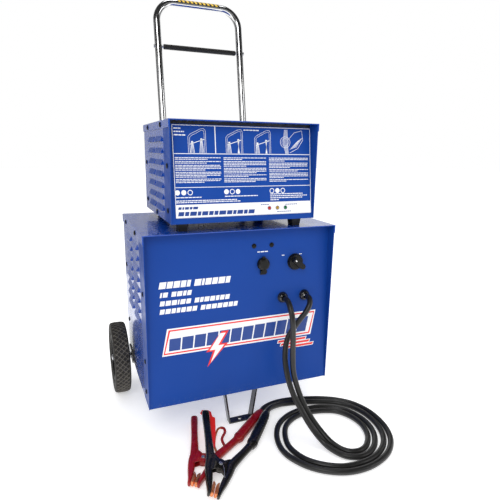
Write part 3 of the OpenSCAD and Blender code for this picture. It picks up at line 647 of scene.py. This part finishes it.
def make_braid():
    """Flexible copper link of the red clamp: twisted strands in a red sleeve."""
    line = [at(clamp_frame("red"), *p) for p in smooth_route(BRAID_ROUTE, 14)]
    strands = []
    for s in range(6):
        winding = []
        for i, (p, side, other) in enumerate(along(line, (0, 0, 1))):
            a = 2 * math.pi * (s / 6 + i / 18)
            winding.append(p + (side * math.cos(a) + other * math.sin(a)) * 1.7 * MM)
        strands.append(swept(winding, 1.15, 6))
    braid = add_mesh("red_clamp_strands", joined(strands), COPPER)
    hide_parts("red_clamp_braid")
    sleeve = line[1:51]  # its outer half
    radii = [3.4 if i % 4 else 3.6 for i in range(len(sleeve))]
    add_mesh("red_clamp_sleeve", swept(sleeve, radii, 16), RED_VINYL)


make_lead("black")
make_lead("red")
for clamp_colour in CLAMPS:
    make_clamp(clamp_colour)
make_braid()
rounded("black_clamp_strip", 0.5, 2)
paint(MARKER, "black_clamp_strip")


# ---- lead grommets
GROMMET_Z = 334.5


def make_grommet(side, x):
    """Domed rubber bush: a flange that grips the panel, a groove, and a dome with a rolled mouth."""
    profile = [(7.1, -5.8), (8.8, -5.8), (8.8, 0.1), (13.4, 0.1), (14, 0.7), (14.1, 2.2), (13.6, 2.9),
               (13.1, 3.1), (13.3, 3.7), (13.2, 5.4), (12.6, 7.2), (11.6, 8.9), (10.3, 10.3), (9.0, 11.3),
               (8.4, 11.5), (8.5, 12.0), (8.1, 12.4), (7.5, 12.4), (7.1, 11.9)]
    bush = lathe(profile, 48, on_panel(CABINET, x, GROMMET_Z), close_ends=False)
    made = add_mesh(f"lead_bush_{side}", bush, GLOSS_RUBBER)
    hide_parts(f"lead_grommet_{side}")


make_grommet("left", 108)
make_grommet("right", 170)


# ---- wheels
def wheel_frame(sign):
    """Wheel's own frame: +Z outwards along the axle."""
    return Matrix.Translation(place(WHEEL_X * sign, WHEEL_Y, WHEEL_R)) @ spin(90 * sign, "Y")


def make_tyre_mesh(side, sign):
    """Moulded tyre: rounded walls with a bead ring, and a tread of diamonds between crossing ribs."""
    here = wheel_frame(sign)
    wall = [(68, -15), (70, -18.2), (73, -19.8), (76.5, -20.6), (77.2, -21.3), (79, -21.4), (79.8, -20.9),
            (84, -21.2), (89, -21.5), (94, -21.4), (97.2, -20.4), (98.8, -18.9)]
    around, across, diamonds, pitch, deep = 528, 46, 44, 14.5, 1.5
    tread = [(WHEEL_R - 2.0 * (abs(h) / 18.2) ** 3, h) for h in np.linspace(-18.2, 18.2, across + 1)]
    rows = wall + tread + [(r, -h) for r, h in reversed(wall)]
    points, faces, marks, cuts = [], [], [], []
    for i, (r, h) in enumerate(rows):
        for k, a in enumerate(circle(around)):
            cut = 0.0
            if len(wall) <= i < len(rows) - len(wall):
                u, v = diamonds * k / around, h / pitch
                rib = min(abs((u + v) % 1 - 0.5), abs((u - v) % 1 - 0.5)) / 0.1
                cut = deep * min(1.0, max(0.0, rib - 0.6) / 0.9) * min(1.0, (18.3 - abs(h)) / 1.4)
            points.append(at(here, (r - cut) * math.cos(a), (r - cut) * math.sin(a), h))
            cuts.append(cut)
    for i in range(len(rows)):
        on_tread = len(wall) < i < len(rows) - len(wall) - 1
        for k in range(around):
            j, up = (k + 1) % around, (i + 1) % len(rows)
            faces.append((i * around + k, i * around + j, up * around + j, up * around + k))
            # the faces on the raised ribs of the tread take a paler rubber colour
            marks.append(1 if on_tread and cuts[i * around + k] < 0.35 * deep else 0)
    tyre = add_mesh(f"{side}_tyre_tread", (points, faces), [TYRE, PALE_RIB_TYRE], f"{side}_wheel")
    tyre.data.polygons.foreach_set("material_index", marks)
    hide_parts(f"{side}_tyre")


def make_rim(side, sign):
    """Moulded rim: deep hub, dished web with eight ribs and a ring that holds the tyre."""
    here = wheel_frame(sign)
    hub = [(6.06, -20), (14.5, -20), (16, -18.8), (16, -5), (17.5, -4), (24, -3.4), (40, -3.2), (54, -3.6),
           (58.5, -5), (60, -9), (60.6, -16.5), (62, -18), (67, -18), (68, -17), (68, 17), (67, 18), (62, 18),
           (60.6, 16.5), (60, 9), (58.5, 4.2), (54, 2.8), (40, 2.2), (24, 2.4), (18, 3.4), (16, 5.2),
           (16, 12.4), (14.6, 13.8), (6.06, 14)]
    parts = [lathe(hub, 72, here, close_ends=False)]
    for k in range(8):
        for low, high in ((1.0, 9.5), (-12.0, -1.0)):
            parts.append(box_mesh((14, -1.8, low), (60.5, 1.8, high), here @ spin(45 * k, "Z")))
    rim = add_mesh(f"{side}_rim_ribbed", joined(parts), MOULDED, f"{side}_wheel", 40)
    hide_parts(f"{side}_rim")


for wheel, way in (("left", -1), ("right", 1)):
    make_tyre_mesh(wheel, way)
    make_rim(wheel, way)
paint(ZINC, "left_hub_nut", "right_hub_nut", "axle")
paint(BLACK_COAT, "axle_plate_left", "axle_plate_right", "foot_strap")


# ---- handle
BEND_R, BEND_Z, TUBE_Y, UPRIGHT_X, CORNER_R = 100.0, 735.0, 330.0, 120.0, 52.0
BEND_END = (TUBE_Y + BEND_R * (1 - math.cos(RAKE)), BEND_Z + BEND_R * math.sin(RAKE))
TOP_Z = 1092  # the top bar's centre line
TUBE_R = 10.0
RISE = (TOP_Z - BEND_END[1]) / math.cos(RAKE)
CROSS_RISE = 223.0


def on_handle(x, up):
    """A point in the raked plane of the handle, x across and up along the tubes from the bends."""
    return place(x, BEND_END[0] + up * math.sin(RAKE), BEND_END[1] + up * math.cos(RAKE))


def handle_line():
    """The centre line of the whole bent tube, from the lower end of one upright to the other."""
    half = [place(UPRIGHT_X, TUBE_Y, z) for z in np.linspace(350, BEND_Z, 12)]
    for a in np.linspace(0, RAKE, 8)[1:]:
        half.append(place(UPRIGHT_X, TUBE_Y + BEND_R * (1 - math.cos(a)), BEND_Z + BEND_R * math.sin(a)))
    for up in np.linspace(0, RISE - CORNER_R, 14)[1:]:
        half.append(on_handle(UPRIGHT_X, up))
    for a in np.linspace(0, math.pi / 2, 20)[1:]:
        inwards, up = CORNER_R * (1 - math.cos(a)), RISE - CORNER_R * (1 - math.sin(a))
        half.append(on_handle(UPRIGHT_X - inwards, up))
    other = [Vector((-p.x, p.y, p.z)) for p in reversed(half)]
    return half + [on_handle(0, RISE)] + other


handle = add_mesh("handle_tube", swept(handle_line(), TUBE_R, 40), CHROME, corners=50)
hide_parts("handle_upright_left", "handle_upright_right", "handle_hoop")


def make_tape_wrap():
    """Film laid over the upper half of the top bar, with a raised lap at each end."""
    lap = [(-61, 10.9), (-59.6, 10.9), (-59.5, 10.6)]
    columns = lap + [(x, 10.6) for x in np.linspace(-57, 57, 39)] + [(-x, r) for x, r in reversed(lap)]
    tilt = Vector((0, math.sin(RAKE), math.cos(RAKE)))
    back = Vector((0, math.cos(RAKE), -math.sin(RAKE)))
    angles = [math.radians(2 + 176 * k / 24) for k in range(25)]
    rows = []
    for x, outer in columns:
        skins = [(outer, a) for a in angles] + [(10.02, a) for a in reversed(angles)]
        middle = on_handle(x, RISE)
        rows.append([middle + (tilt * math.sin(a) - back * math.cos(a)) * r * MM for r, a in skins])
    tape = add_mesh("handle_tape_wrap", shell(rows), TAPE, corners=50)
    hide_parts("handle_tape")


def make_grip():
    """Foam sleeve of the crossbar: shallow rings near both ends and rounded end faces."""
    half, line, radii = 106, [], []
    for x in np.linspace(-half, half, 2 * half + 1):
        gap, r = half - abs(x), 6.8
        if gap < 2:
            r -= 1.2 * (1 - gap / 2) ** 2
        elif 6 < gap < 16 and int(gap) % 3 == 0:
            r -= 0.45
        line.append(on_handle(x, CROSS_RISE))
        radii.append(r)
    grip = add_mesh("crossbar_grip", swept(line, radii, 32), GRIP, corners=50)
    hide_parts("crossbar_sleeve")


make_tape_wrap()
make_grip()
paint(ZINC, "crossbar_rod")


# ---- screws
SCREW_R, SCREW_H = 6.0, 2.6


def screw_head(matrix):
    """Pan head, +Z of the matrix outwards."""
    r, h = SCREW_R, SCREW_H
    profile = [(r * 0.97, 0), (r, 0.5), (r * 0.985, h * 0.42), (r * 0.86, h * 0.72), (r * 0.62, h * 0.92),
               (r * 0.34, h)]
    return lathe(profile, 32, matrix)


def screw_cross(matrix):
    """Near-black cross in the middle of a screw head: painted shade that stands in for the cross recess,
    which is not cut.
    """
    bars = ((SCREW_R * 0.52, 0.55), (0.55, SCREW_R * 0.52))
    return joined([box_mesh((-a, -b, SCREW_H - 0.5), (a, b, SCREW_H + 0.06), matrix) for a, b in bars])


def side_face(sign, x, y, z):
    """The frame of a spot on a side panel, +Z outwards."""
    return Matrix.Translation(place(sign * x, y, z)) @ spin(90 * sign, "Y")


def make_screws(name, node, frames, bolts):
    """A box's screws and bolts as one piece, and the screws' crosses, near-black as painted recess shade, as
    another.
    """
    heads = joined([screw_head(m) for m in frames] + bolts)
    made = add_mesh(name, heads, OXIDE, corners=40)
    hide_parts(node)
    add_mesh(name + "_recess_shade", joined([screw_cross(m) for m in frames]), RECESS_SHADE, flat=True)


def cabinet_screws():
    """Screws of the sides and the panel, and the bolts of the handle and the foot."""
    frames, bolts = [], []
    back_head = [(0.1, 0), (6.4, 0), (6.5, 0.4), (6.5, 4.2), (5.9, 5), (0.1, 5)]
    for sign in (-1, 1):
        frames += [side_face(sign, 242, y, 504) for y in (104, 270)]
        frames += [side_face(sign, 240, 31, z) for z in (129, 208, 375)]
        frames += [side_face(sign, 240, 314, z) for z in (208, 375)]
        for z in (390, 470):
            back = Matrix.Translation(place(sign * UPRIGHT_X, 345, z)) @ spin(-90, "X")
            bolts.append(lathe(back_head, 6, back, False))
            bolts.append(lathe([(0.1, -28), (3.9, -28), (3.9, 0.1), (0.1, 0.1)], 20, back, False))
        foot = Matrix.Translation(place(sign * 60, 26.5, 100))
        bolts.append(lathe([(0.1, 0.4), (5.9, 0), (6.5, 0.6), (6.5, 4.9), (0.1, 4.9)], 6, foot, False))
        bolts.append(lathe([(0.1, 4.8), (4, 4.8), (4, 13.6), (3.4, 14), (0.1, 14)], 20, foot, False))
    frames += [on_panel(CABINET, x, 471) for x in (30, 77)]
    return frames, bolts


def charger_screws():
    """Screws of the charger's sides."""
    frames = []
    for sign in (-1, 1):
        frames += [side_face(sign, 179, y, 750) for y in (84, 246)]
        frames += [side_face(sign, 177, y, z) for y in (29, 287) for z in (564, 662)]
        frames.append(side_face(sign, 177, 158, 545))
    return frames, []


make_screws("cabinet_screws", "cabinet_fasteners", *cabinet_screws())
make_screws("charger_screws", "charger_fasteners", *charger_screws())


# ---- control panel
def make_controls():
    """Two raised rings on the socket cap, flutes on the knob, and a painted highlight: a small white mark on
    the knob's bar where a glint falls.
    """
    cap = on_panel(CABINET, 54, 425)
    outer = [(9.9, 9.3), (10.4, 9.9), (10.9, 9.9), (11.3, 9.3)]
    inner = [(7.2, 9.6), (7.6, 10.0), (8.0, 10.0), (8.4, 9.6)]
    rings = joined([lathe(profile, 48, cap, False) for profile in (outer, inner)])
    add_mesh("socket_cap_rings", rings, MOULDED, "cap")
    knob = on_panel(CABINET, 142, 424)
    # painted highlight: a small white mark where a glint falls on the knob's bar, not a printed pointer
    painted_glint = box_mesh((-10.5, -1.3, 21.05), (-5.5, 1.3, 21.3), knob @ spin(-40, "Z"))
    add_mesh("knob_painted_highlight", painted_glint, WHITE_INK, "knob", flat=True)
    turns = [knob @ spin(360 * k / 28, "Z") for k in range(28)]
    flutes = joined([box_mesh((17.6, -0.7, 2.6), (20.3, 0.7, 6.8), turn) for turn in turns])
    add_mesh("knob_flutes", flutes, MOULDED, "knob", flat=True)


make_controls()
rounded("switch_knob", 0.45, 3)
rounded("socket_cap", 0.35, 2)
paint(MOULDED, "socket_body", "socket_cap", "switch_body", "switch_knob", "mains_inlet")
paint(BLACK_COAT, "switch_plate")


# ---- printed graphics
LIGHT_X, LIGHT_Z = (59, 80, 101), 565


class Print:
    """Flat shapes in one ink on a leaning panel, in mm: x across, z the height above the floor."""

    def __init__(self, panel, lift):
        """An empty print that stands off its panel by the lift."""
        (self.tilt, self.z0), self.lift, self.parts = panel, lift, []

    def spot(self, x, z, out):
        """A point this far out from the panel."""
        y = SHEET + (z - self.z0) * math.tan(self.tilt)
        return place(x, y - out * math.cos(self.tilt), z + out * math.sin(self.tilt))

    def shape(self, outline):
        """A filled outline, 0.08 mm thick."""
        levels = (self.lift, self.lift + 0.08)
        self.parts.append(tube([[self.spot(x, z, out) for x, z in outline] for out in levels]))

    def bar(self, x0, x1, z0, z1, slant=0.0):
        """A filled box, whose top may be set off sideways."""
        self.shape([(x0, z0), (x1, z0), (x1 + slant, z1), (x0 + slant, z1)])

    def line(self, path, width):
        """A stroke through the path's points, one slab a stretch."""
        for (x0, z0), (x1, z1) in zip(path, path[1:]):
            run = math.hypot(x1 - x0, z1 - z0) or 1.0
            nx, nz = -(z1 - z0) / run * width / 2, (x1 - x0) / run * width / 2
            ex, ez = (x1 - x0) / run * width * 0.4, (z1 - z0) / run * width * 0.4
            self.shape([(x0 - ex + nx, z0 - ez + nz), (x0 - ex - nx, z0 - ez - nz),
                        (x1 + ex - nx, z1 + ez - nz), (x1 + ex + nx, z1 + ez + nz)])

    def disc(self, x, z, r, steps=28):
        """A filled circle."""
        self.shape([(x + r * math.cos(a), z + r * math.sin(a)) for a in circle(steps)])

    def ring(self, x, z, r, width, steps=28):
        """The line of a circle, one slab a step."""
        for a in circle(steps):
            b = a + 2 * math.pi / steps
            corners = ((r, a), (r, b), (r - width, b), (r - width, a))
            self.shape([(x + q * math.cos(t), z + q * math.sin(t)) for q, t in corners])

    def piece(self, name, ink, slot):
        """The finished print as one piece."""
        return add_mesh(name, joined(self.parts), ink, flat=True)


def make_label():
    """Charger label: white frame, dividers, four outline pictures, dashes in place of lettering."""
    white, navy = Print(CHARGER, 0.86), Print(CHARGER, 0.96)
    corners = [(-165, 551), (170, 551), (170, 748), (-165, 748)]
    white.line(corners + corners[:1], 1.2)
    white.bar(-165, 170, 550, 579)
    white.bar(-164, 169, 615.4, 616.6)
    white.bar(-164, 169, 687.4, 688.8)
    white.bar(-70, -68, 688, 748)
    rng = np.random.default_rng(7)

    def dashes(x0, x1, z, height):
        """A row of dashes of random widths."""
        x = x0
        while x < x1 - 2:
            width = min(float(rng.uniform(3.0, 9.5)), x1 - x)
            white.bar(x, x + width, z, z + height)
            x += width + 1.1

    for x0, x1 in ((-162, -58), (-51, 53), (61, 164)):
        z = 679.0
        for block in rng.permutation([2, 4, 2, 3, 4]):
            for i in range(int(block)):
                if z < 619:
                    break
                end = x1 if i < block - 1 else x0 + (x1 - x0) * float(rng.uniform(0.35, 0.8))
                dashes(x0, end, z, 1.45)
                z -= 3.35
            z -= 1.5
    for x in (-160, -145.8, -47, -19, 80.8):
        white.disc(x, 605, 5.6)
    for x in (-131.4, -33, 66.5, 95):
        white.ring(x, 605, 5.9, 1.5)
    for x0, x1, z in ((-164, -106, 593.5), (-164, -22, 586.5), (-164, -14, 582.8), (-51, 30, 594),
                      (62, 148, 596.5), (62, 160, 592), (62, 150, 587.5), (62, 84, 583)):
        dashes(x0, x1, z, 1.8)
    for x1, z in ((-146, 740), (-139, 733), (-134, 726)):
        dashes(-162, x1, z, 2.48)
    dashes(-1, 37, 740, 2.108)
    make_pictures(white)
    x = -160.0
    for width in (7, 4, 9, 6, 11):
        navy.bar(x, x + width, 568.5, 574, 1.2)
        x += width + 1.8
    x = -161.0
    for width in (12, 9, 14, 8, 13, 10, 9, 15, 12, 8, 13, 9, 14):
        navy.bar(x, x + 1.19 * width - 1.6, 554.5, 563.5, 2.0)
        x += 1.19 * width + 0.7
    for x0, x1, z in ((37, 60, 572.5), (101, 134, 571.5), (79, 116, 555.2)):
        x = x0
        while x < x1 - 2:
            navy.bar(x, x + 4.2, z, z + 1.9)
            x += 5.4
    for x in LIGHT_X:
        navy.ring(x, LIGHT_Z, 4.9, 0.7)
    white.piece("label_white", WHITE_INK, "label_film")
    navy.piece("label_navy", NAVY_INK, "label_film")


def make_pictures(white):
    """Outlines of the handle with clamps hung on it three ways, and a hand."""
    for x, hung in ((-131, ((-122, 0), (-101, 0))), (-44, ((-36, 0), (-14, 1))), (26, ((33, 0), (55, 1)))):
        right = x + 40
        outer = [(x, 690), (x, 724), (x + 4, 729), (x + 29, 741), (x + 36, 742), (right, 737), (right, 690)]
        inner = [(x + 3.4, 690), (x + 3.4, 722), (x + 7, 726), (x + 30, 737.6), (x + 35, 738),
                 (right - 3.4, 734), (right - 3.4, 690)]
        white.line(outer, 0.7)
        white.line(inner, 0.6)
        white.line([(x + 3, 708), (right - 3, 719)], 1.3)
        for cx, crossed in hung:
            top = 710 + (cx - x) * 0.28
            white.disc(cx, top, 2.6, 16)
            for dx in (-4.5, -1.6, 1.6, 4.5):
                foot = cx + dx * (1.0 if not crossed else -0.4)
                white.line([(cx + dx * 0.35, top), (foot, 690)], 1.0)
    white.ring(104, 716, 13, 0.8, 36)
    white.ring(104, 716, 9, 0.7, 32)
    for dx in (-3.2, -1, 1.2, 3.4):
        white.line([(106 + dx, 744), (104 + dx * 1.6, 716), (108 + dx, 690)], 1.1)
    for i in range(9):
        white.line([(116 + 2.4 * i, 700 + 2.2 * i), (134 + 2.0 * i, 706 + 2.6 * i)], 0.7)
    white.line([(112, 722), (128, 738), (148, 743), (151, 722), (137, 702), (116, 692)], 0.8)


def banner(inset):
    """The slanted outline behind the gauge, drawn in by an inset."""
    x0, x1, z0, z1, slant = -204 + inset, 192 - inset, 224 + inset, 290 - inset, 14
    return [(x0, z0), (x1, z0), (x1 + slant, z1), (x0 + slant, z1)]


def make_cabinet_graphics():
    """Cabinet front: slanted bars in place of the model lines, and a plain charge gauge with a bolt sign."""
    lifts = (0.03, 0.13, 0.23, 0.33, 0.43, 0.53)
    white, red, field, gauge, edge, bolt = (Print(CABINET, lift) for lift in lifts)
    rows = [(-206, 387, 15.5, 1.21, (15, 13, 14, 12, 9, 0, 15, 7, 14, 13, 15, 11)),
            (-204, 366.5, 11.5, 1.1, (6, 12, 0, 12, 13, 9, 11)),
            (-205, 346.5, 11.5, 1.19, (11, 12, 12, 5, 12, 11, 0, 11, 9, 12, 12, 9, 11, 11)),
            (-206, 327, 11.5, 1.19, (11, 12, 10, 9, 11, 12, 11, 0, 11, 12, 12, 12, 12, 11, 10))]
    for x, z, height, scale, widths in rows:
        for width in widths:
            if width:
                white.bar(x, x + width * scale - 2.4, z, z + height, height * 0.22)
            x += (width if width else 6) * scale
    for ink, inset in ((white, 0), (red, 3.4), (field, 7.0)):
        ink.shape(banner(inset))
    for i in range(12):
        x = -188 + 30.6 * i
        gauge.bar(x, x + 27.5, 235, 265 + 0.9 * i, 3 + 0.5 * i)
    bolt.shape([(-60, 262), (-88, 222), (-73, 222), (-86, 190), (-50, 232), (-66, 232), (-46, 262)])
    edge.shape([(-56, 267), (-97, 218.5), (-79.5, 218.5), (-95, 180), (-40, 235.5), (-58, 235.5), (-38, 267)])
    for i in range(3):
        red.bar(96 + 8 * i, 176 + 11 * i, 213 - 9 * i, 218.5 - 9 * i, 3)
        white.bar(94 + 8 * i, 178 + 11 * i, 211.4 - 9 * i, 220.2 - 9 * i, 3)
    for x0, x1 in ((39, 46), (47.5, 57), (58.5, 67)):
        white.bar(x0, x1, 454.5, 456.7)
    for x in (109, 158):
        white.bar(x - 3.5, x - 0.6, 441.5, 443.6)
        white.bar(x + 0.4, x + 3.5, 441.5, 443.6)
    layers = {"white": (white, WHITE_INK), "red": (red, RED_INK), "field": (field, WHITE_INK),
              "gauge": (gauge, NAVY_INK), "bolt_edge": (edge, RED_INK), "bolt": (bolt, WHITE_INK)}
    for name, (layer, ink) in layers.items():
        layer.piece(f"front_graphics_{name}", ink, "blue_sheet")


def make_shadow_strip():
    """Near-black strip across the gap under the charger's cover: painted shade where the cover's underside
    lies in shadow.
    """
    strip = Print(CHARGER, 0.3)
    strip.bar(-171, 171, 750.6, 757)
    strip.piece("charger_painted_shadow_strip", MATT_RUBBER_AND_SHADE, "black_rubber")


make_label()
make_shadow_strip()
make_cabinet_graphics()


def make_lights():
    """Three domed indicator lenses in bezels."""
    colours = (rgb(214, 40, 34), rgb(206, 160, 44), rgb(28, 128, 66))
    dome = [(2.45, -4.9), (2.45, 0.9), (4.0, 0.95), (4.0, 1.5), (3.6, 1.7), (3.3, 2.4), (2.6, 3.0),
            (1.5, 3.3), (0.05, 3.35)]
    for name, x, colour in zip(("red", "amber", "green"), LIGHT_X, colours):
        shape = lathe(dome, 28, on_panel(CHARGER, x, LIGHT_Z))
        lens = add_mesh(f"light_{name}", shape, make_lens(f"{name}_lens", colour))
        if name == "red":
            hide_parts("status_lights")


make_lights()


# ---- louvres
LOUVRE_PITCH = 26


def hood(x, y0, y1, z0, sign):
    """Pressed louvre: swollen out of the sheet, with rounded ends and a thin lip along its lower edge."""
    across, down, high, out = 30, 10, 12.4, 5.4
    rows = []
    for v in range(down + 1):
        t = v / down
        skins = []
        for skin in (0.0, 0.9):
            for u in range(across + 1):
                y = y0 - 2.4 + (y1 - y0 + 4.8) * u / across
                ends = min(y - y0 + 2.4, y1 + 2.4 - y) / 6.0
                swell = math.sin(min(1.0, ends) * math.pi / 2) ** 0.7 if ends > 0 else 0.0
                stand = max(0.02, out * swell * (1.12 * t - 0.12 * t * t)) - skin * swell
                skins.append(place(sign * (x + stand), y, z0 + high * (1 - t)))
        rows.append(skins[:across + 1] + skins[:across:-1])
    return shell(rows)


def make_louvres(name, material, x, columns, width, top, count):
    """Both sides' louvres, in columns that start this far behind the front edge."""
    heights = [top - LOUVRE_PITCH * i for i in range(count)]
    for side, sign in (("left", -1), ("right", 1)):
        hoods = [hood(x, y + 2, y + width - 2, z, sign) for y in columns for z in heights]
        add_mesh(f"{name}_{side}_louvres", joined(hoods), material, corners=40)


make_louvres("cabinet", PAINT, 240, (80, 186), 78, 468, 8)
make_louvres("charger", SHADED_PAINT, 177, (76, 164), 76, 714, 7)


# ---- remaining CAD pieces
paint(SHADED_PAINT, "cabinet_front", "charger_front", "cabinet_base", "charger_base")
paint(PAINT, "cabinet_rear", "cabinet_left_side", "cabinet_right_side", "cabinet_cover", "charger_rear",
      "charger_left_side", "charger_right_side", "charger_cover")
paint(CASE, "battery_left", "battery_right")
paint(ZINC, "battery_clamp_bar")
paint(FILM, "label_plate")
paint(CORE, "transformer")
paint(ALUMINIUM, "heat_sink")
paint(MATT_RUBBER_AND_SHADE, "charger_feet")


# ---- stage
def studio_mesh(name, points, faces, shader):
    """A surface of the studio, not of the object."""
    data = bpy.data.meshes.new(name)
    data.from_pydata(points, [], faces)
    data.materials.append(shader.mat)
    made = bpy.data.objects.new(name, data)
    bpy.context.scene.collection.objects.link(made)
    return made


def make_floor():
    """Plain pale floor that glows a little, as a lit studio floor does."""
    s = Shader("floor", Specular_IOR_Level=0.1, Roughness=0.9, Emission_Color=(1, 1, 1, 1),
               Emission_Strength=0.42)
    s.colour(s.blend(s.patch(3, 2), (0.80, 0.80, 0.795, 1), (0.84, 0.84, 0.84, 1)))
    r = 14.0
    floor = studio_mesh("floor", [(-r, -r, 0), (r, -r, 0), (r, r, 0), (-r, r, 0)], [(0, 1, 2, 3)], s)


def make_light(name, energy, size, spot, target):
    """A soft rectangular lamp that looks at its target."""
    data = bpy.data.lights.new(name, "AREA")
    data.energy = energy
    data.shape = "RECTANGLE"
    data.size, data.size_y = size
    lamp = bpy.data.objects.new(name, data)
    bpy.context.scene.collection.objects.link(lamp)
    lamp.location = spot
    lamp.rotation_mode = "QUATERNION"
    lamp.rotation_quaternion = (Vector(target) - Vector(spot)).to_track_quat("-Z", "Y")


def make_world():
    """Even white light from all round."""
    world = bpy.data.worlds.new("studio")
    world.use_nodes = True
    bpy.context.scene.world = world
    back = world.node_tree.nodes["Background"]
    back.inputs["Color"].default_value = (1, 1, 1, 1)
    back.inputs["Strength"].default_value = 1.0


def add_flag(name, points, faces, tone=0.03):
    """A studio card, seen only in reflections, that gives gloss and chrome their darker bands."""
    s = Shader(name, Specular_IOR_Level=0.0, Roughness=1.0)
    s.colour((tone, tone, tone, 1))
    flag = studio_mesh(name, points, faces, s)
    flag.visible_camera = flag.visible_diffuse = flag.visible_shadow = False
    flag.visible_transmission = flag.visible_volume_scatter = False


def make_flags():
    """Tall cards beside the view axis and in front, and a dome overhead."""
    cards = ((-62, -38, 1.3, 0.03), (-37.5, 4, 1.3, 0.40), (66, 92, 1.3, 0.03), (93, 117, 3.2, 0.3),
             (118, 150, 3.2, 0.03), (151, 195, 3.2, 0.2), (196, 236, 3.2, 0.03), (262, 290, 3.2, 0.03))
    for i, (start, stop, far, tone) in enumerate(cards):
        points = []
        for k in range(9):
            a = math.radians(start + (stop - start) * k / 8)
            points += [(far * math.sin(a), far * math.cos(a), z) for z in (0.02, 2.4)]
        faces = [(2 * k, 2 * k + 2, 2 * k + 3, 2 * k + 1) for k in range(8)]
        add_flag(f"flag_{i}", points, faces, tone)
    points = []
    for e in (34, 50, 66, 82, 89.9):
        flat, up = 5 * math.cos(math.radians(e)), 5 * math.sin(math.radians(e))
        points += [(flat * math.sin(a), flat * math.cos(a), up) for a in circle(32)]
    add_flag("dome", points, quads(5, 32))


make_floor()
make_world()
make_flags()
make_light("key", 22, (0.9, 1.2), (-1.3, -2.2, 2.2), (0, 0, 0.45))
make_light("fill", 8, (0.5, 1.4), (2.2, -1.8, 1.5), (0, 0, 0.4))
make_light("top", 12, (1.2, 0.8), (0.2, 0.2, 2.8), (0, 0, 0.4))
bpy.context.scene.view_settings.view_transform = "Standard"
